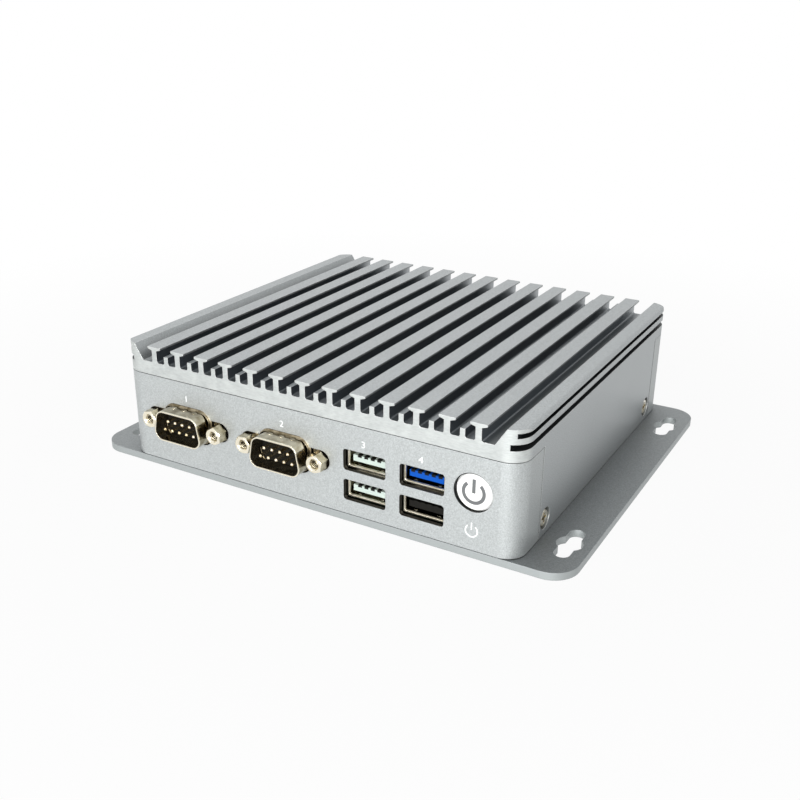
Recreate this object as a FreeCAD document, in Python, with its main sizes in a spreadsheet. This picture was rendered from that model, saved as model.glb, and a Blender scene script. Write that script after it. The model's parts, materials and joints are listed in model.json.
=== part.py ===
import FreeCAD, Part
import math
import os
import Sketcher

# Fanless industrial computer, millimetres.  X runs right along the front, Y runs back, Z runs up.
# The origin is the centre of the base plate's underside.

SIZES = {
    # body
    "body_width": 134.0,
    "body_depth": 124.0,
    "body_corner": 6.0,
    "panel_height": 28.3,
    "roof_thickness": 4.2,
    "side_wall": 3.5,
    "top_edge_radius": 1.2,
    "fit_gap": 0.2,
    "seam_gap": 0.15,
    # heatsink fins on the roof
    "fin_pitch": 9.05,
    "fin_side_gap": 1.0,
    "fin_height": 4.9,
    "fin_stem": 1.8,
    "fin_cap_width": 4.9,
    "fin_cap_edge": 0.6,
    "fin_cap_root": 1.1,
    "fin_root_radius": 0.6,
    "rib_width": 1.5,
    "rib_height": 2.5,
    "shoulder_width": 5.0,
    "shoulder_slope": 3.1,
    # long slots in the sides of the heatsink
    "groove_lip": 1.05,
    "groove_web": 1.65,
    "upper_groove_height": 1.4,
    "lower_groove_height": 1.75,
    "upper_groove_depth": 2.5,
    "lower_groove_depth": 4.0,
    # base plate
    "plate_thickness": 2.2,
    "wing_width": 14.25,
    "plate_corner": 8.0,
    "keyhole_inset_x": 6.25,
    "keyhole_inset_y": 17.0,
    "keyhole_slot_width": 4.5,
    "keyhole_slot_length": 16.0,
    "keyhole_head_width": 7.4,
    # end panels
    "panel_thickness": 1.5,
    "front_return": 14.0,
    "rear_return": 12.0,
    "return_wall": 4.5,
    "return_inner_radius": 1.2,
    "lug_thickness": 3.0,
    "lug_reach": 8.0,
    "lug_rise": 11.0,
    "lug_root": 3.0,
    # screws
    "screw_size": 3.0,
    "screw_head_width": 5.6,
    "screw_head_height": 1.8,
    "screw_recess_width": 0.8,
    "screw_recess_span": 3.2,
    "screw_recess_depth": 1.0,
    "thread_gap": 0.05,
    "through_gap": 0.2,
    "side_screw_inset": 4.0,
    "side_screw_rise": 5.1,
    "side_screw_length": 5.0,
    "head_pocket_width": 6.5,
    "head_pocket_depth": 2.1,
    "base_screw_inset": 8.0,
    "base_screw_length": 7.0,
    # main board
    "board_side_gap": 2.3,
    "board_end_gap": 2.0,
    "board_thickness": 1.6,
    "board_hole_inset_x": 4.5,
    "board_hole_inset_y": 20.0,
    "standoff_height": 2.8,
    "standoff_width": 6.0,
    "board_screw_length": 4.0,
    # processor and its heat path to the roof
    "processor_width": 25.0,
    "substrate_thickness": 0.8,
    "die_width": 13.0,
    "die_thickness": 0.7,
    "pad_thickness": 0.5,
    "block_width": 30.0,
    "block_flange_margin": 4.5,
    "block_flange_thickness": 4.0,
    "block_screw_span": 41.0,
    "block_screw_bite": 2.4,
    # memory, storage and board parts
    "memory_length": 67.6,
    "memory_width": 31.4,
    "memory_inset": 2.0,
    "memory_gap": 1.0,
    "memory_chip_width": 11.0,
    "memory_chip_length": 12.0,
    "memory_chip_pitch": 16.0,
    "socket_end_wall": 1.7,
    "socket_arm_width": 1.2,
    "socket_width": 6.4,
    "socket_height": 4.0,
    "card_thickness": 1.0,
    "card_lift": 1.8,
    "chip_thickness": 0.9,
    "storage_x": 39.0,
    "storage_socket_y": -32.0,
    "storage_width": 22.0,
    "storage_length": 30.0,
    "storage_inset": 3.0,
    "storage_socket_depth": 5.0,
    "storage_socket_height": 4.2,
    "storage_chip_width": 14.0,
    "storage_chip_length": 8.0,
    "storage_chip_gap": 1.5,
    "storage_post_width": 5.0,
    "storage_screw_size": 2.0,
    "storage_head_width": 4.4,
    "storage_head_height": 1.0,
    "cell_x": 39.0,
    "cell_y": 19.0,
    "cell_diameter": 20.0,
    "cell_thickness": 3.2,
    "cell_floor": 1.0,
    "cell_rim": 1.5,
    "inductor_y": -32.5,
    "capacitor_y": 30.0,
    "inductor_width": 7.0,
    "inductor_height": 4.0,
    "capacitor_diameter": 6.3,
    "capacitor_height": 7.0,
    "board_part_pitch": 12.0,
    # nine-pin serial plugs on the front
    "serial_rise": 10.4,
    "serial_shell_width": 18.5,
    "serial_shell_height": 9.8,
    "serial_slant": 10.0,
    "serial_corner": 2.9,
    "serial_bend": 0.7,
    "serial_shell_wall": 0.4,
    "serial_inset": 0.8,
    "serial_protrusion": 6.0,
    "serial_flange_end": 2.905,
    "serial_flange_rim": 1.35,
    "serial_flange_corner": 0.9,
    "serial_flange_thickness": 0.5,
    "serial_nose": 0.6,
    "serial_body_depth": 8.5,
    "serial_cutout_margin": 0.8,
    "near_lead_reach": 1.2,
    "far_lead_reach": 3.0,
    "pin_pitch": 2.77,
    "pin_row_pitch": 2.84,
    "pin_diameter": 1.0,
    "pin_setback": 0.8,
    "lead_width": 0.6,
    "jackscrew_offset": 3.245,
    "jackscrew_flats": 5.0,
    "jackscrew_length": 4.4,
    "jackscrew_bore": 2.4,
    "jackscrew_bore_depth": 4.1,
    "jackscrew_chamfer": 0.6,
    "jackscrew_stud": 2.8,
    "jackscrew_stud_length": 7.0,
    "jackscrew_hole": 6.2,
    # stacked USB sockets on the front
    "usb_rise": 3.4,
    "usb_pitch": 9.35,
    "usb_cutout_side": 0.25,
    "usb_cutout_rise": 0.34,
    "usb_cutout_corner": 0.9,
    "usb_opening_width": 12.5,
    "usb_opening_height": 5.12,
    "usb_wall": 0.35,
    "usb_depth": 17.0,
    "usb_setback": 0.4,
    "usb_band_setback": 2.0,
    "usb_tongue_side": 1.0,
    "usb_tongue_thickness": 1.9,
    "usb_tongue_offset": -0.35,
    "usb_tongue_setback": 1.0,
    "usb_contact_setback": 0.4,
    "usb_back_wall": 4.5,
    "usb_contact_width": 1.0,
    "usb_contact_thickness": 0.15,
    "usb_contact_length": 7.0,
    "usb_contact_pitch": 2.1,
    # power button
    "button_rise": 17.3,
    "button_diameter": 10.6,
    "button_gap": 0.3,
    "button_setback": 0.6,
    "button_edge": 0.3,
    "button_lip": 0.65,
    "button_flange_thickness": 1.0,
    "button_rest_gap": 0.1,
    "button_travel": 0.6,
    "button_stem_diameter": 3.2,
    "holder_wall": 1.3,
    "holder_depth": 8.0,
    "switch_width": 6.0,
    "switch_depth": 3.4,
    "switch_board_thickness": 1.2,
    "plunger_diameter": 3.2,
    "plunger_length": 1.8,
    "plunger_exposed": 1.0,
    # rear sockets
    "network_width": 16.0,
    "network_height": 13.4,
    "network_depth": 21.0,
    "network_wall": 0.3,
    "network_opening_width": 11.9,
    "network_opening_height": 8.0,
    "network_opening_sill": 1.2,
    "network_latch_width": 6.2,
    "network_latch_rise": 2.2,
    "network_pocket_depth": 13.0,
    "network_contact_pitch": 1.02,
    "network_contact_width": 0.45,
    "network_contact_thickness": 0.4,
    "network_contact_drop": 0.5,
    "network_contact_setback": 3.0,
    "port_margin": 0.4,
    "power_jack_width": 9.0,
    "power_jack_height": 11.0,
    "power_jack_depth": 14.0,
    "power_jack_rise": 6.5,
    "power_jack_bore": 6.3,
    "power_jack_pin": 2.1,
    "power_jack_bore_depth": 9.5,
    "video_width": 15.0,
    "video_height": 5.9,
    "video_depth": 11.5,
    "video_slant_rise": 1.4,
    "video_slant_run": 1.6,
    "video_tongue_width": 11.5,
    "video_tongue_thickness": 1.2,
    "video_rear_thickness": 2.0,
    "monitor_rise": 6.9,
    "monitor_shell_width": 16.3,
    "monitor_shell_height": 7.9,
    "monitor_screw_offset": 4.345,
    "monitor_pin_pitch": 2.29,
    "monitor_row_pitch": 1.98,
    "monitor_hole": 1.1,
    "audio_width": 7.0,
    "audio_height": 7.0,
    "audio_depth": 12.0,
    "audio_rise": 3.6,
    "audio_nose": 6.0,
    "audio_bore": 3.6,
    "antenna_inset": 15.0,
    "antenna_drop": 5.8,
    "antenna_hole": 6.5,
    "antenna_cap_width": 8.6,
    "antenna_cap_thickness": 1.4,
}

# Sizes that follow from those above.  The cells refer to each other by name.
FOLLOWING = {
    "fin_count": "floor(2 * (body_width / 2 - shoulder_width - shoulder_slope - fin_cap_width / 2 "
                 "- fin_side_gap) / fin_pitch) + 1",
    "lug_face": "body_width / 2 - side_wall - fit_gap",
    "board_half_width": "lug_face - lug_thickness - board_side_gap",
    "board_half_depth": "body_depth / 2 - panel_thickness - board_end_gap",
    "block_flange_width": "block_screw_span + 2 * block_flange_margin",
    "socket_length": "memory_length + 2 * socket_end_wall",
    "jackscrew_span": "serial_shell_width + 2 * jackscrew_offset",
    "serial_flange_width": "jackscrew_span + 2 * serial_flange_end",
    "serial_flange_height": "serial_shell_height + 2 * serial_flange_rim",
    "monitor_screw_span": "monitor_shell_width + 2 * monitor_screw_offset",
    "monitor_flange_width": "monitor_screw_span + 2 * serial_flange_end",
    "usb_shell_width": "usb_opening_width + 2 * usb_wall",
    "usb_cutout_width": "usb_shell_width + 2 * usb_cutout_side",
    "usb_cutout_height": "usb_opening_height + 2 * usb_wall + 2 * usb_cutout_rise",
    "usb_tongue_width": "usb_opening_width - 2 * usb_tongue_side",
    "button_hole": "button_diameter + 2 * button_gap",
    "button_flange_width": "button_hole + 2 * button_lip",
    "holder_bore": "button_flange_width + 2 * button_gap",
    "holder_width": "holder_bore + 2 * holder_wall",
    "antenna_x": "body_width / 2 - antenna_inset",
}

# Ports in their order along a panel: the name of the place, the port's width, and its share of
# the free width to its left.  The last share is what stays free at the right end.
FRONT_PORTS = [
    ("serial_left_x", "serial_flange_width", 4.2),
    ("serial_right_x", "serial_flange_width", 5.2),
    ("usb_left_x", "usb_shell_width", 5.0),
    ("usb_right_x", "usb_shell_width", 4.9),
    ("button_x", "holder_width", 0.9),
]
FRONT_END_SHARE = 1.1
REAR_PORTS = [
    ("audio_x", "audio_width", 3.8),
    ("monitor_x", "monitor_flange_width", 3.6),
    ("video_x", "video_width", 2.1),
    ("network_left_x", "network_width", 3.0),
    ("network_right_x", "network_width", 2.0),
    ("power_jack_x", "power_jack_width", 5.5),
]
REAR_END_SHARE = 6.8

HALF_X = "(dim.body_width / 2)"
HALF_Y = "(dim.body_depth / 2)"
PLATE_HALF_X = "(dim.body_width / 2 + dim.wing_width)"
PLATE_TOP = "dim.plate_thickness"
ROOF_Z = "(dim.plate_thickness + dim.panel_height)"
FLOOR_Z = f"({ROOF_Z} + dim.roof_thickness)"
TOP_Z = f"({FLOOR_Z} + dim.fin_height)"
WALL_FOOT = "(dim.plate_thickness + dim.seam_gap)"
BOARD_TOP = "(dim.plate_thickness + dim.standoff_height + dim.board_thickness)"
BOARD_BOTTOM = "(dim.plate_thickness + dim.standoff_height)"
PANEL_REAR = f"(-{HALF_Y} + dim.panel_thickness)"
REAR_PANEL_INNER = f"({HALF_Y} - dim.panel_thickness)"
FLANGE_Y = f"({PANEL_REAR} - dim.serial_inset)"
REAR_FLANGE_Y = f"({REAR_PANEL_INNER} + dim.serial_inset)"
SIDE_SCREW_Z = "(dim.plate_thickness + dim.side_screw_rise)"
SERIAL_Z = f"({BOARD_TOP} + dim.serial_rise)"
MONITOR_Z = f"({BOARD_TOP} + dim.monitor_rise)"
BUTTON_Z = "(dim.plate_thickness + dim.button_rise)"
ANTENNA_Z = f"({ROOF_Z} - dim.antenna_drop)"
MARGIN = "10"

doc = FreeCAD.newDocument("fanless_industrial_computer")
sheet = doc.addObject("Spreadsheet::Sheet", "dim")
nodes = []


def shared_places(ports, end_share, half_room):
    """Formula of each port's centre: the free width is shared out between the ports."""
    shares = [share for _, _, share in ports] + [end_share]
    widths = [width for _, width, _ in ports]
    free = f"(2 * ({half_room}) - {' - '.join(widths)}) / {sum(shares):.4f}"
    places = {}
    for i, (name, width, _) in enumerate(ports):
        taken = "".join(f" + {before}" for before in widths[:i])
        places[name] = f"-({half_room}) + {sum(shares[:i + 1]):.4f} * {free}{taken} + {width} / 2"
    return places


def fill_sheet():
    """Write every size and every formula into its own cell and give the cell its name."""
    cells = {alias: str(size) for alias, size in SIZES.items()}
    cells.update({alias: f"={formula}" for alias, formula in FOLLOWING.items()})
    for ports, end_share, half_room in (
            (FRONT_PORTS, FRONT_END_SHARE, "body_width / 2 - return_wall"),
            (REAR_PORTS, REAR_END_SHARE, "lug_face - lug_thickness")):
        places = shared_places(ports, end_share, half_room)
        cells.update({alias: f"={formula}" for alias, formula in places.items()})
    for row, alias in enumerate(cells, start=1):
        sheet.set(f"A{row}", alias)
        sheet.setAlias(f"B{row}", alias)
    for row, entry in enumerate(cells.values(), start=1):
        sheet.set(f"B{row}", entry)
    doc.recompute()


def value(expression):
    """The number that an expression on the sheet stands for."""
    result = sheet.evalExpression(expression)
    return float(getattr(result, "Value", result))


def keep(feature, label):
    """Name a finished piece and put it on the list of pieces to write."""
    feature.Label = label
    nodes.append(feature)
    return feature


# ---------------------------------------------------------------- sketch helpers

def origin_part(body, role):
    return [part for part in body.Origin.OriginFeatures if part.Role == role][0]


def new_body(name):
    return doc.addObject("PartDesign::Body", name)


def sketch_on(body, name, role, offset="0"):
    """A sketch on one of the body's origin planes, moved along the plane's normal."""
    sketch = body.newObject("Sketcher::SketchObject", name)
    sketch.AttachmentSupport = [(origin_part(body, role), "")]
    sketch.MapMode = "FlatFace"
    sketch.setExpression("AttachmentOffset.Base.z", offset)
    return sketch


def bind(sketch, constraint, expression):
    index = sketch.addConstraint(constraint)
    sketch.setExpression(f"Constraints[{index}]", expression)


def pin_point(sketch, geometry, end, x, y):
    """Fix a point of a sketch at two expressions."""
    bind(sketch, Sketcher.Constraint("DistanceX", -1, 1, geometry, end, value(x)), x)
    bind(sketch, Sketcher.Constraint("DistanceY", -1, 1, geometry, end, value(y)), y)


def outline(sketch, corners):
    """Closed outline through corners (x, y) or (x, y, radius), each an expression.

    A corner with a radius becomes an arc that is tangent to both sides; a construction
    point keeps the place where the two sides would have met.
    """
    spots = [FreeCAD.Vector(value(corner[0]), value(corner[1]), 0) for corner in corners]
    count = len(corners)
    radii = [value(corner[2]) if len(corner) > 2 else 0.0 for corner in corners]
    starts, ends = [], []
    for i in range(count):
        back = (spots[i - 1] - spots[i]).normalize()
        ahead = (spots[(i + 1) % count] - spots[i]).normalize()
        reach = radii[i] / math.tan(back.getAngle(ahead) / 2)
        ends.append(spots[i] + back * reach)
        starts.append(spots[i] + ahead * reach)
    first = sketch.GeometryCount
    for i in range(count):
        sketch.addGeometry(Part.LineSegment(starts[i], ends[(i + 1) % count]), False)
    for i in range(count):
        before = first + (i - 1) % count
        after = first + i
        if radii[i] == 0:
            sketch.addConstraint(Sketcher.Constraint("Coincident", before, 2, after, 1))
            pin_point(sketch, after, 1, corners[i][0], corners[i][1])
            continue
        back = (spots[i - 1] - spots[i]).normalize()
        ahead = (spots[(i + 1) % count] - spots[i]).normalize()
        inward = (back + ahead).normalize()
        span = (ends[i] - spots[i]).Length
        centre = spots[i] + inward * (span * span + radii[i] * radii[i]) ** 0.5
        middle = centre - inward * radii[i]
        arc = sketch.addGeometry(Part.Arc(ends[i], middle, starts[i]), False)
        corner = sketch.addGeometry(Part.Point(spots[i]), True)
        arc_runs_back = arc_starts_at(sketch, arc, starts[i])
        at_before = 2 if arc_runs_back else 1
        at_after = 1 if arc_runs_back else 2
        sketch.addConstraint(Sketcher.Constraint("Tangent", before, 2, arc, at_before))
        sketch.addConstraint(Sketcher.Constraint("Tangent", arc, at_after, after, 1))
        bind(sketch, Sketcher.Constraint("Radius", arc, radii[i]), corners[i][2])
        sketch.addConstraint(Sketcher.Constraint("PointOnObject", corner, 1, before))
        sketch.addConstraint(Sketcher.Constraint("PointOnObject", corner, 1, after))
        pin_point(sketch, corner, 1, corners[i][0], corners[i][1])


def arc_starts_at(sketch, arc, spot):
    """Sketch arcs always run anticlockwise, so an arc may start at its far end."""
    return (sketch.getPoint(arc, 1) - spot).Length < (sketch.getPoint(arc, 2) - spot).Length


def rectangle(sketch, x0, y0, x1, y1, radius=None):
    corners = [(x0, y0), (x1, y0), (x1, y1), (x0, y1)]
    if radius:
        corners = [corner + (radius,) for corner in corners]
    outline(sketch, corners)


def circle(sketch, x, y, diameter):
    centre = FreeCAD.Vector(value(x), value(y), 0)
    radius = value(f"({diameter}) / 2")
    ring = sketch.addGeometry(Part.Circle(centre, FreeCAD.Vector(0, 0, 1), radius), False)
    pin_point(sketch, ring, 3, x, y)
    bind(sketch, Sketcher.Constraint("Diameter", ring, 2 * radius), diameter)


def d_outline(sketch, x, z, width, height, corner):
    """The D of a D-sub connector: the wide side lies below, the ends lean in upwards."""
    top = f"(({width}) / 2 - ({height}) * tan(dim.serial_slant))"
    outline(sketch, [
        (f"{x} - ({width}) / 2", f"{z} - ({height}) / 2", corner),
        (f"{x} + ({width}) / 2", f"{z} - ({height}) / 2", corner),
        (f"{x} + {top}", f"{z} + ({height}) / 2", corner),
        (f"{x} - {top}", f"{z} + ({height}) / 2", corner),
    ])


# ---------------------------------------------------------------- PartDesign helpers

def pad(body, name, sketch, length, symmetric=False, backward=False):
    feature = body.newObject("PartDesign::Pad", name)
    feature.Profile = sketch
    feature.SideType = "Symmetric" if symmetric else "One side"
    feature.Reversed = backward
    feature.setExpression("Length", length)
    body.Tip = feature
    doc.recompute()
    return feature


def pocket(body, name, sketch, length, symmetric=False, backward=False):
    """Cut a sketch into the body and make sure that it took material away."""
    before = body.Shape.Volume
    feature = body.newObject("PartDesign::Pocket", name)
    feature.Profile = sketch
    feature.SideType = "Symmetric" if symmetric else "One side"
    feature.Reversed = backward
    feature.setExpression("Length", length)
    body.Tip = feature
    doc.recompute()
    if not body.Shape.Volume < before - 1e-6:
        raise RuntimeError(f"{name} cuts nothing")
    return feature


def row_of(body, name, feature, spacing, count):
    """Repeat a feature along X."""
    pattern = body.newObject("PartDesign::LinearPattern", name)
    pattern.Originals = [feature]
    pattern.Direction = (origin_part(body, "X_Axis"), [""])
    pattern.Mode = "Spacing"
    pattern.setExpression("Offset", spacing)
    pattern.setExpression("Occurrences", count)
    body.Tip = pattern
    doc.recompute()
    return pattern


def mirrored(body, name, features, role):
    mirror = body.newObject("PartDesign::Mirrored", name)
    mirror.Originals = features
    mirror.MirrorPlane = (origin_part(body, role), [""])
    body.Tip = mirror
    doc.recompute()
    return mirror


def round_edges(body, name, radius, wanted):
    """Fillet the edges of the body's tip that pass the test."""
    tip = body.Tip
    names = [f"Edge{i + 1}" for i, edge in enumerate(tip.Shape.Edges) if wanted(edge)]
    if not names:
        raise RuntimeError(f"{name} finds no edge")
    fillet = body.newObject("PartDesign::Fillet", name)
    fillet.Base = (tip, names)
    fillet.setExpression("Radius", radius)
    body.Tip = fillet
    doc.recompute()
    return fillet


def near(a, b):
    return abs(a - b) < 1e-4


def runs_along(edge, axis):
    """True for a straight edge along one axis."""
    box = edge.BoundBox
    spans = {"x": box.XLength, "y": box.YLength, "z": box.ZLength}
    return all(span < 1e-4 for key, span in spans.items() if key != axis)


# ---------------------------------------------------------------- Part helpers

TURNS = {
    "z": FreeCAD.Rotation(),
    "x": FreeCAD.Rotation(FreeCAD.Vector(0, 1, 0), 90),
    "y": FreeCAD.Rotation(FreeCAD.Vector(1, 0, 0), -90),
    "-x": FreeCAD.Rotation(FreeCAD.Vector(0, 1, 0), -90),
    "-y": FreeCAD.Rotation(FreeCAD.Vector(1, 0, 0), 90),
    "-z": FreeCAD.Rotation(FreeCAD.Vector(1, 0, 0), 180),
}


def primitive(kind, name, at, along="z", **sizes):
    """A Part primitive with every size and its place bound to the sheet."""
    feature = doc.addObject(kind, name)
    for key, expression in sizes.items():
        feature.setExpression(key, expression)
    feature.Placement = FreeCAD.Placement(FreeCAD.Vector(), TURNS[along])
    for key, expression in zip("xyz", at):
        feature.setExpression(f"Placement.Base.{key}", expression)
    return feature


def box(name, length, width, height, at):
    return primitive("Part::Box", name, at, Length=length, Width=width, Height=height)


def centred_box(name, x, width, y0, y1, z0, z1):
    """A box centred on x, between two depths and two heights."""
    at = (f"{x} - ({width}) / 2", y0, z0)
    return box(name, width, f"({y1}) - ({y0})", f"({z1}) - ({z0})", at)


def cylinder(name, diameter, length, at, along="z"):
    radius = f"({diameter}) / 2"
    return primitive("Part::Cylinder", name, at, along, Radius=radius, Height=length)


def cone(name, start_diameter, end_diameter, length, at, along="z"):
    return primitive("Part::Cone", name, at, along, Radius1=f"({start_diameter}) / 2",
                     Radius2=f"({end_diameter}) / 2", Height=length)


def fuse(name, pieces):
    feature = doc.addObject("Part::MultiFuse", name)
    feature.Shapes = pieces
    feature.Refine = True
    return feature


def cut(name, base, tools):
    feature = doc.addObject("Part::Cut", name)
    feature.Base = base
    feature.Tool = tools[0] if len(tools) == 1 else fuse(f"{name}_tools", tools)
    feature.Refine = True
    return feature


def common(name, base, tool):
    feature = doc.addObject("Part::Common", name)
    feature.Base = base
    feature.Tool = tool
    return feature


def group(name, pieces):
    feature = doc.addObject("Part::Compound", name)
    feature.Links = pieces
    return feature


def opposite(along):
    return along[1:] if along.startswith("-") else f"-{along}"


def shifted(at, along, distance):
    """A place moved along a signed axis by an expression."""
    sign = "-" if along.startswith("-") else "+"
    index = "xyz".index(along[-1])
    return tuple(f"{part} {sign} ({distance})" if i == index else part
                 for i, part in enumerate(at))


# ---------------------------------------------------------------- heatsink cover

def fin_corners(x):
    """Section of one T-shaped fin, from the channel floor up."""
    half_stem = "dim.fin_stem / 2"
    half_cap = "dim.fin_cap_width / 2"
    under_root = f"{TOP_Z} - dim.fin_cap_root"
    under_edge = f"{TOP_Z} - dim.fin_cap_edge"
    return [
        (f"{x} - {half_stem}", FLOOR_Z),
        (f"{x} - {half_stem}", under_root),
        (f"{x} - {half_cap}", under_edge),
        (f"{x} - {half_cap}", TOP_Z),
        (f"{x} + {half_cap}", TOP_Z),
        (f"{x} + {half_cap}", under_edge),
        (f"{x} + {half_stem}", under_root),
        (f"{x} + {half_stem}", FLOOR_Z),
    ]


def heatsink_cover():
    """One extrusion: side walls, finned roof and grooved shoulders, milled at its ends."""
    body = new_body("heatsink_cover")
    inner_x = f"({HALF_X} - dim.side_wall)"
    shoulder_x = f"({HALF_X} - dim.shoulder_width)"
    slope_x = f"({HALF_X} - dim.shoulder_width - dim.shoulder_slope)"
    section = sketch_on(body, "cover_section", "XZ_Plane")
    outline(section, [
        (f"-{HALF_X}", WALL_FOOT),
        (f"-{HALF_X}", TOP_Z, "dim.top_edge_radius"),
        (f"-{shoulder_x}", TOP_Z),
        (f"-{slope_x}", FLOOR_Z),
        (slope_x, FLOOR_Z),
        (shoulder_x, TOP_Z),
        (HALF_X, TOP_Z, "dim.top_edge_radius"),
        (HALF_X, WALL_FOOT),
        (inner_x, WALL_FOOT),
        (inner_x, ROOF_Z),
        (f"-{inner_x}", ROOF_Z),
        (f"-{inner_x}", WALL_FOOT),
    ])
    pad(body, "cover_extrusion", section, "dim.body_depth", symmetric=True)

    first_fin = "(-(dim.fin_count - 1) * dim.fin_pitch / 2)"
    fin_section = sketch_on(body, "fin_section", "XZ_Plane")
    outline(fin_section, fin_corners(first_fin))
    fin = pad(body, "fin", fin_section, "dim.body_depth", symmetric=True)
    row_of(body, "fins", fin, "dim.fin_pitch", "dim.fin_count")

    first_rib = f"({first_fin} + dim.fin_pitch / 2)"
    rib_section = sketch_on(body, "rib_section", "XZ_Plane")
    rectangle(rib_section, f"{first_rib} - dim.rib_width / 2", FLOOR_Z,
              f"{first_rib} + dim.rib_width / 2", f"{FLOOR_Z} + dim.rib_height")
    rib = pad(body, "rib", rib_section, "dim.body_depth", symmetric=True)
    row_of(body, "ribs", rib, "dim.fin_pitch", "dim.fin_count - 1")

    floor_z = value(FLOOR_Z)
    inside_x = value(slope_x) - 0.01
    round_edges(body, "fin_roots", "dim.fin_root_radius",
                lambda edge: runs_along(edge, "y") and near(edge.CenterOfMass.z, floor_z)
                and abs(edge.CenterOfMass.x) < inside_x)

    upper_top = f"({TOP_Z} - dim.groove_lip)"
    lower_top = f"({upper_top} - dim.upper_groove_height - dim.groove_web)"
    for level, top in (("upper", upper_top), ("lower", lower_top)):
        groove_section = sketch_on(body, f"{level}_groove_section", "XZ_Plane")
        rectangle(groove_section, f"{HALF_X} - dim.{level}_groove_depth",
                  f"{top} - dim.{level}_groove_height", f"{HALF_X} + {MARGIN}", top)
        groove = pocket(body, f"{level}_groove", groove_section, f"dim.body_depth + {MARGIN}",
                        symmetric=True)
        mirrored(body, f"{level}_grooves", [groove], "YZ_Plane")

    notch = sketch_on(body, "wall_end_notches", "YZ_Plane")
    rectangle(notch, f"-{HALF_Y} - {MARGIN}", f"-{MARGIN}",
              f"-{HALF_Y} + dim.front_return + dim.fit_gap", ROOF_Z)
    rectangle(notch, f"{HALF_Y} - dim.rear_return - dim.fit_gap", f"-{MARGIN}",
              f"{HALF_Y} + {MARGIN}", ROOF_Z)
    pocket(body, "wall_ends", notch, f"dim.body_width + {MARGIN}", symmetric=True)

    trim = sketch_on(body, "corner_trim_outline", "XY_Plane")
    rectangle(trim, f"-{HALF_X} - {MARGIN}", f"-{HALF_Y} - {MARGIN}",
              f"{HALF_X} + {MARGIN}", f"{HALF_Y} + {MARGIN}")
    rectangle(trim, f"-{HALF_X}", f"-{HALF_Y}", HALF_X, HALF_Y, "dim.body_corner")
    pocket(body, "milled_corners", trim, f"{TOP_Z} + {MARGIN}", backward=True)

    for end, y in side_screw_places():
        seat = sketch_on(body, f"{end}_screw_seat", "YZ_Plane", HALF_X)
        circle(seat, y, SIDE_SCREW_Z, "dim.head_pocket_width")
        head = pocket(body, f"{end}_head_pocket", seat, "dim.head_pocket_depth")
        mirrored(body, f"{end}_head_pockets", [head], "YZ_Plane")
        through = sketch_on(body, f"{end}_screw_through", "YZ_Plane", HALF_X)
        circle(through, y, SIDE_SCREW_Z, "dim.screw_size + 2 * dim.through_gap")
        hole = pocket(body, f"{end}_screw_hole", through, "dim.side_wall + 1")
        mirrored(body, f"{end}_screw_holes", [hole], "YZ_Plane")

    seats = sketch_on(body, "block_screw_seats", "XY_Plane", ROOF_Z)
    for x, y in block_screw_places():
        circle(seats, x, y, "dim.screw_size + 2 * dim.thread_gap")
    pocket(body, "block_screw_bores", seats, "dim.block_screw_bite + dim.fit_gap", backward=True)
    keep(body, "heatsink_cover")


# ---------------------------------------------------------------- places shared by several pieces

def side_screw_places():
    """Depths of the two screws in each side wall, just behind the panel seams."""
    return [
        ("front", f"(-{HALF_Y} + dim.front_return + dim.side_screw_inset)"),
        ("rear", f"({HALF_Y} - dim.rear_return - dim.side_screw_inset)"),
    ]


def base_screw_places():
    x = f"({HALF_X} - dim.return_wall / 2)"
    y = f"({HALF_Y} - dim.base_screw_inset)"
    return [(f"{sx}{x}", f"{sy}{y}") for sx in ("-", "") for sy in ("-", "")]


def board_hole_places():
    x = "(dim.board_half_width - dim.board_hole_inset_x)"
    y = "(dim.board_half_depth - dim.board_hole_inset_y)"
    return [(f"{sx}{x}", f"{sy}{y}") for sx in ("-", "") for sy in ("-", "")]


def block_screw_places():
    half = "(dim.block_screw_span / 2)"
    return [(f"{sx}{half}", f"{sy}{half}") for sx in ("-", "") for sy in ("-", "")]


def keyhole_places():
    x = f"({PLATE_HALF_X} - dim.keyhole_inset_x)"
    y = f"({HALF_Y} - dim.keyhole_inset_y)"
    return [(f"{sx}{x}", f"{sy}{y}") for sx in ("-", "") for sy in ("-", "")]


def usb_places():
    return [("left", "dim.usb_left_x"), ("right", "dim.usb_right_x")]


def usb_levels():
    lower = f"({BOARD_TOP} + dim.usb_rise)"
    return [("lower", lower), ("upper", f"({lower} + dim.usb_pitch)")]


def serial_places():
    return [("left", "dim.serial_left_x"), ("right", "dim.serial_right_x")]


# ---------------------------------------------------------------- end panels

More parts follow.
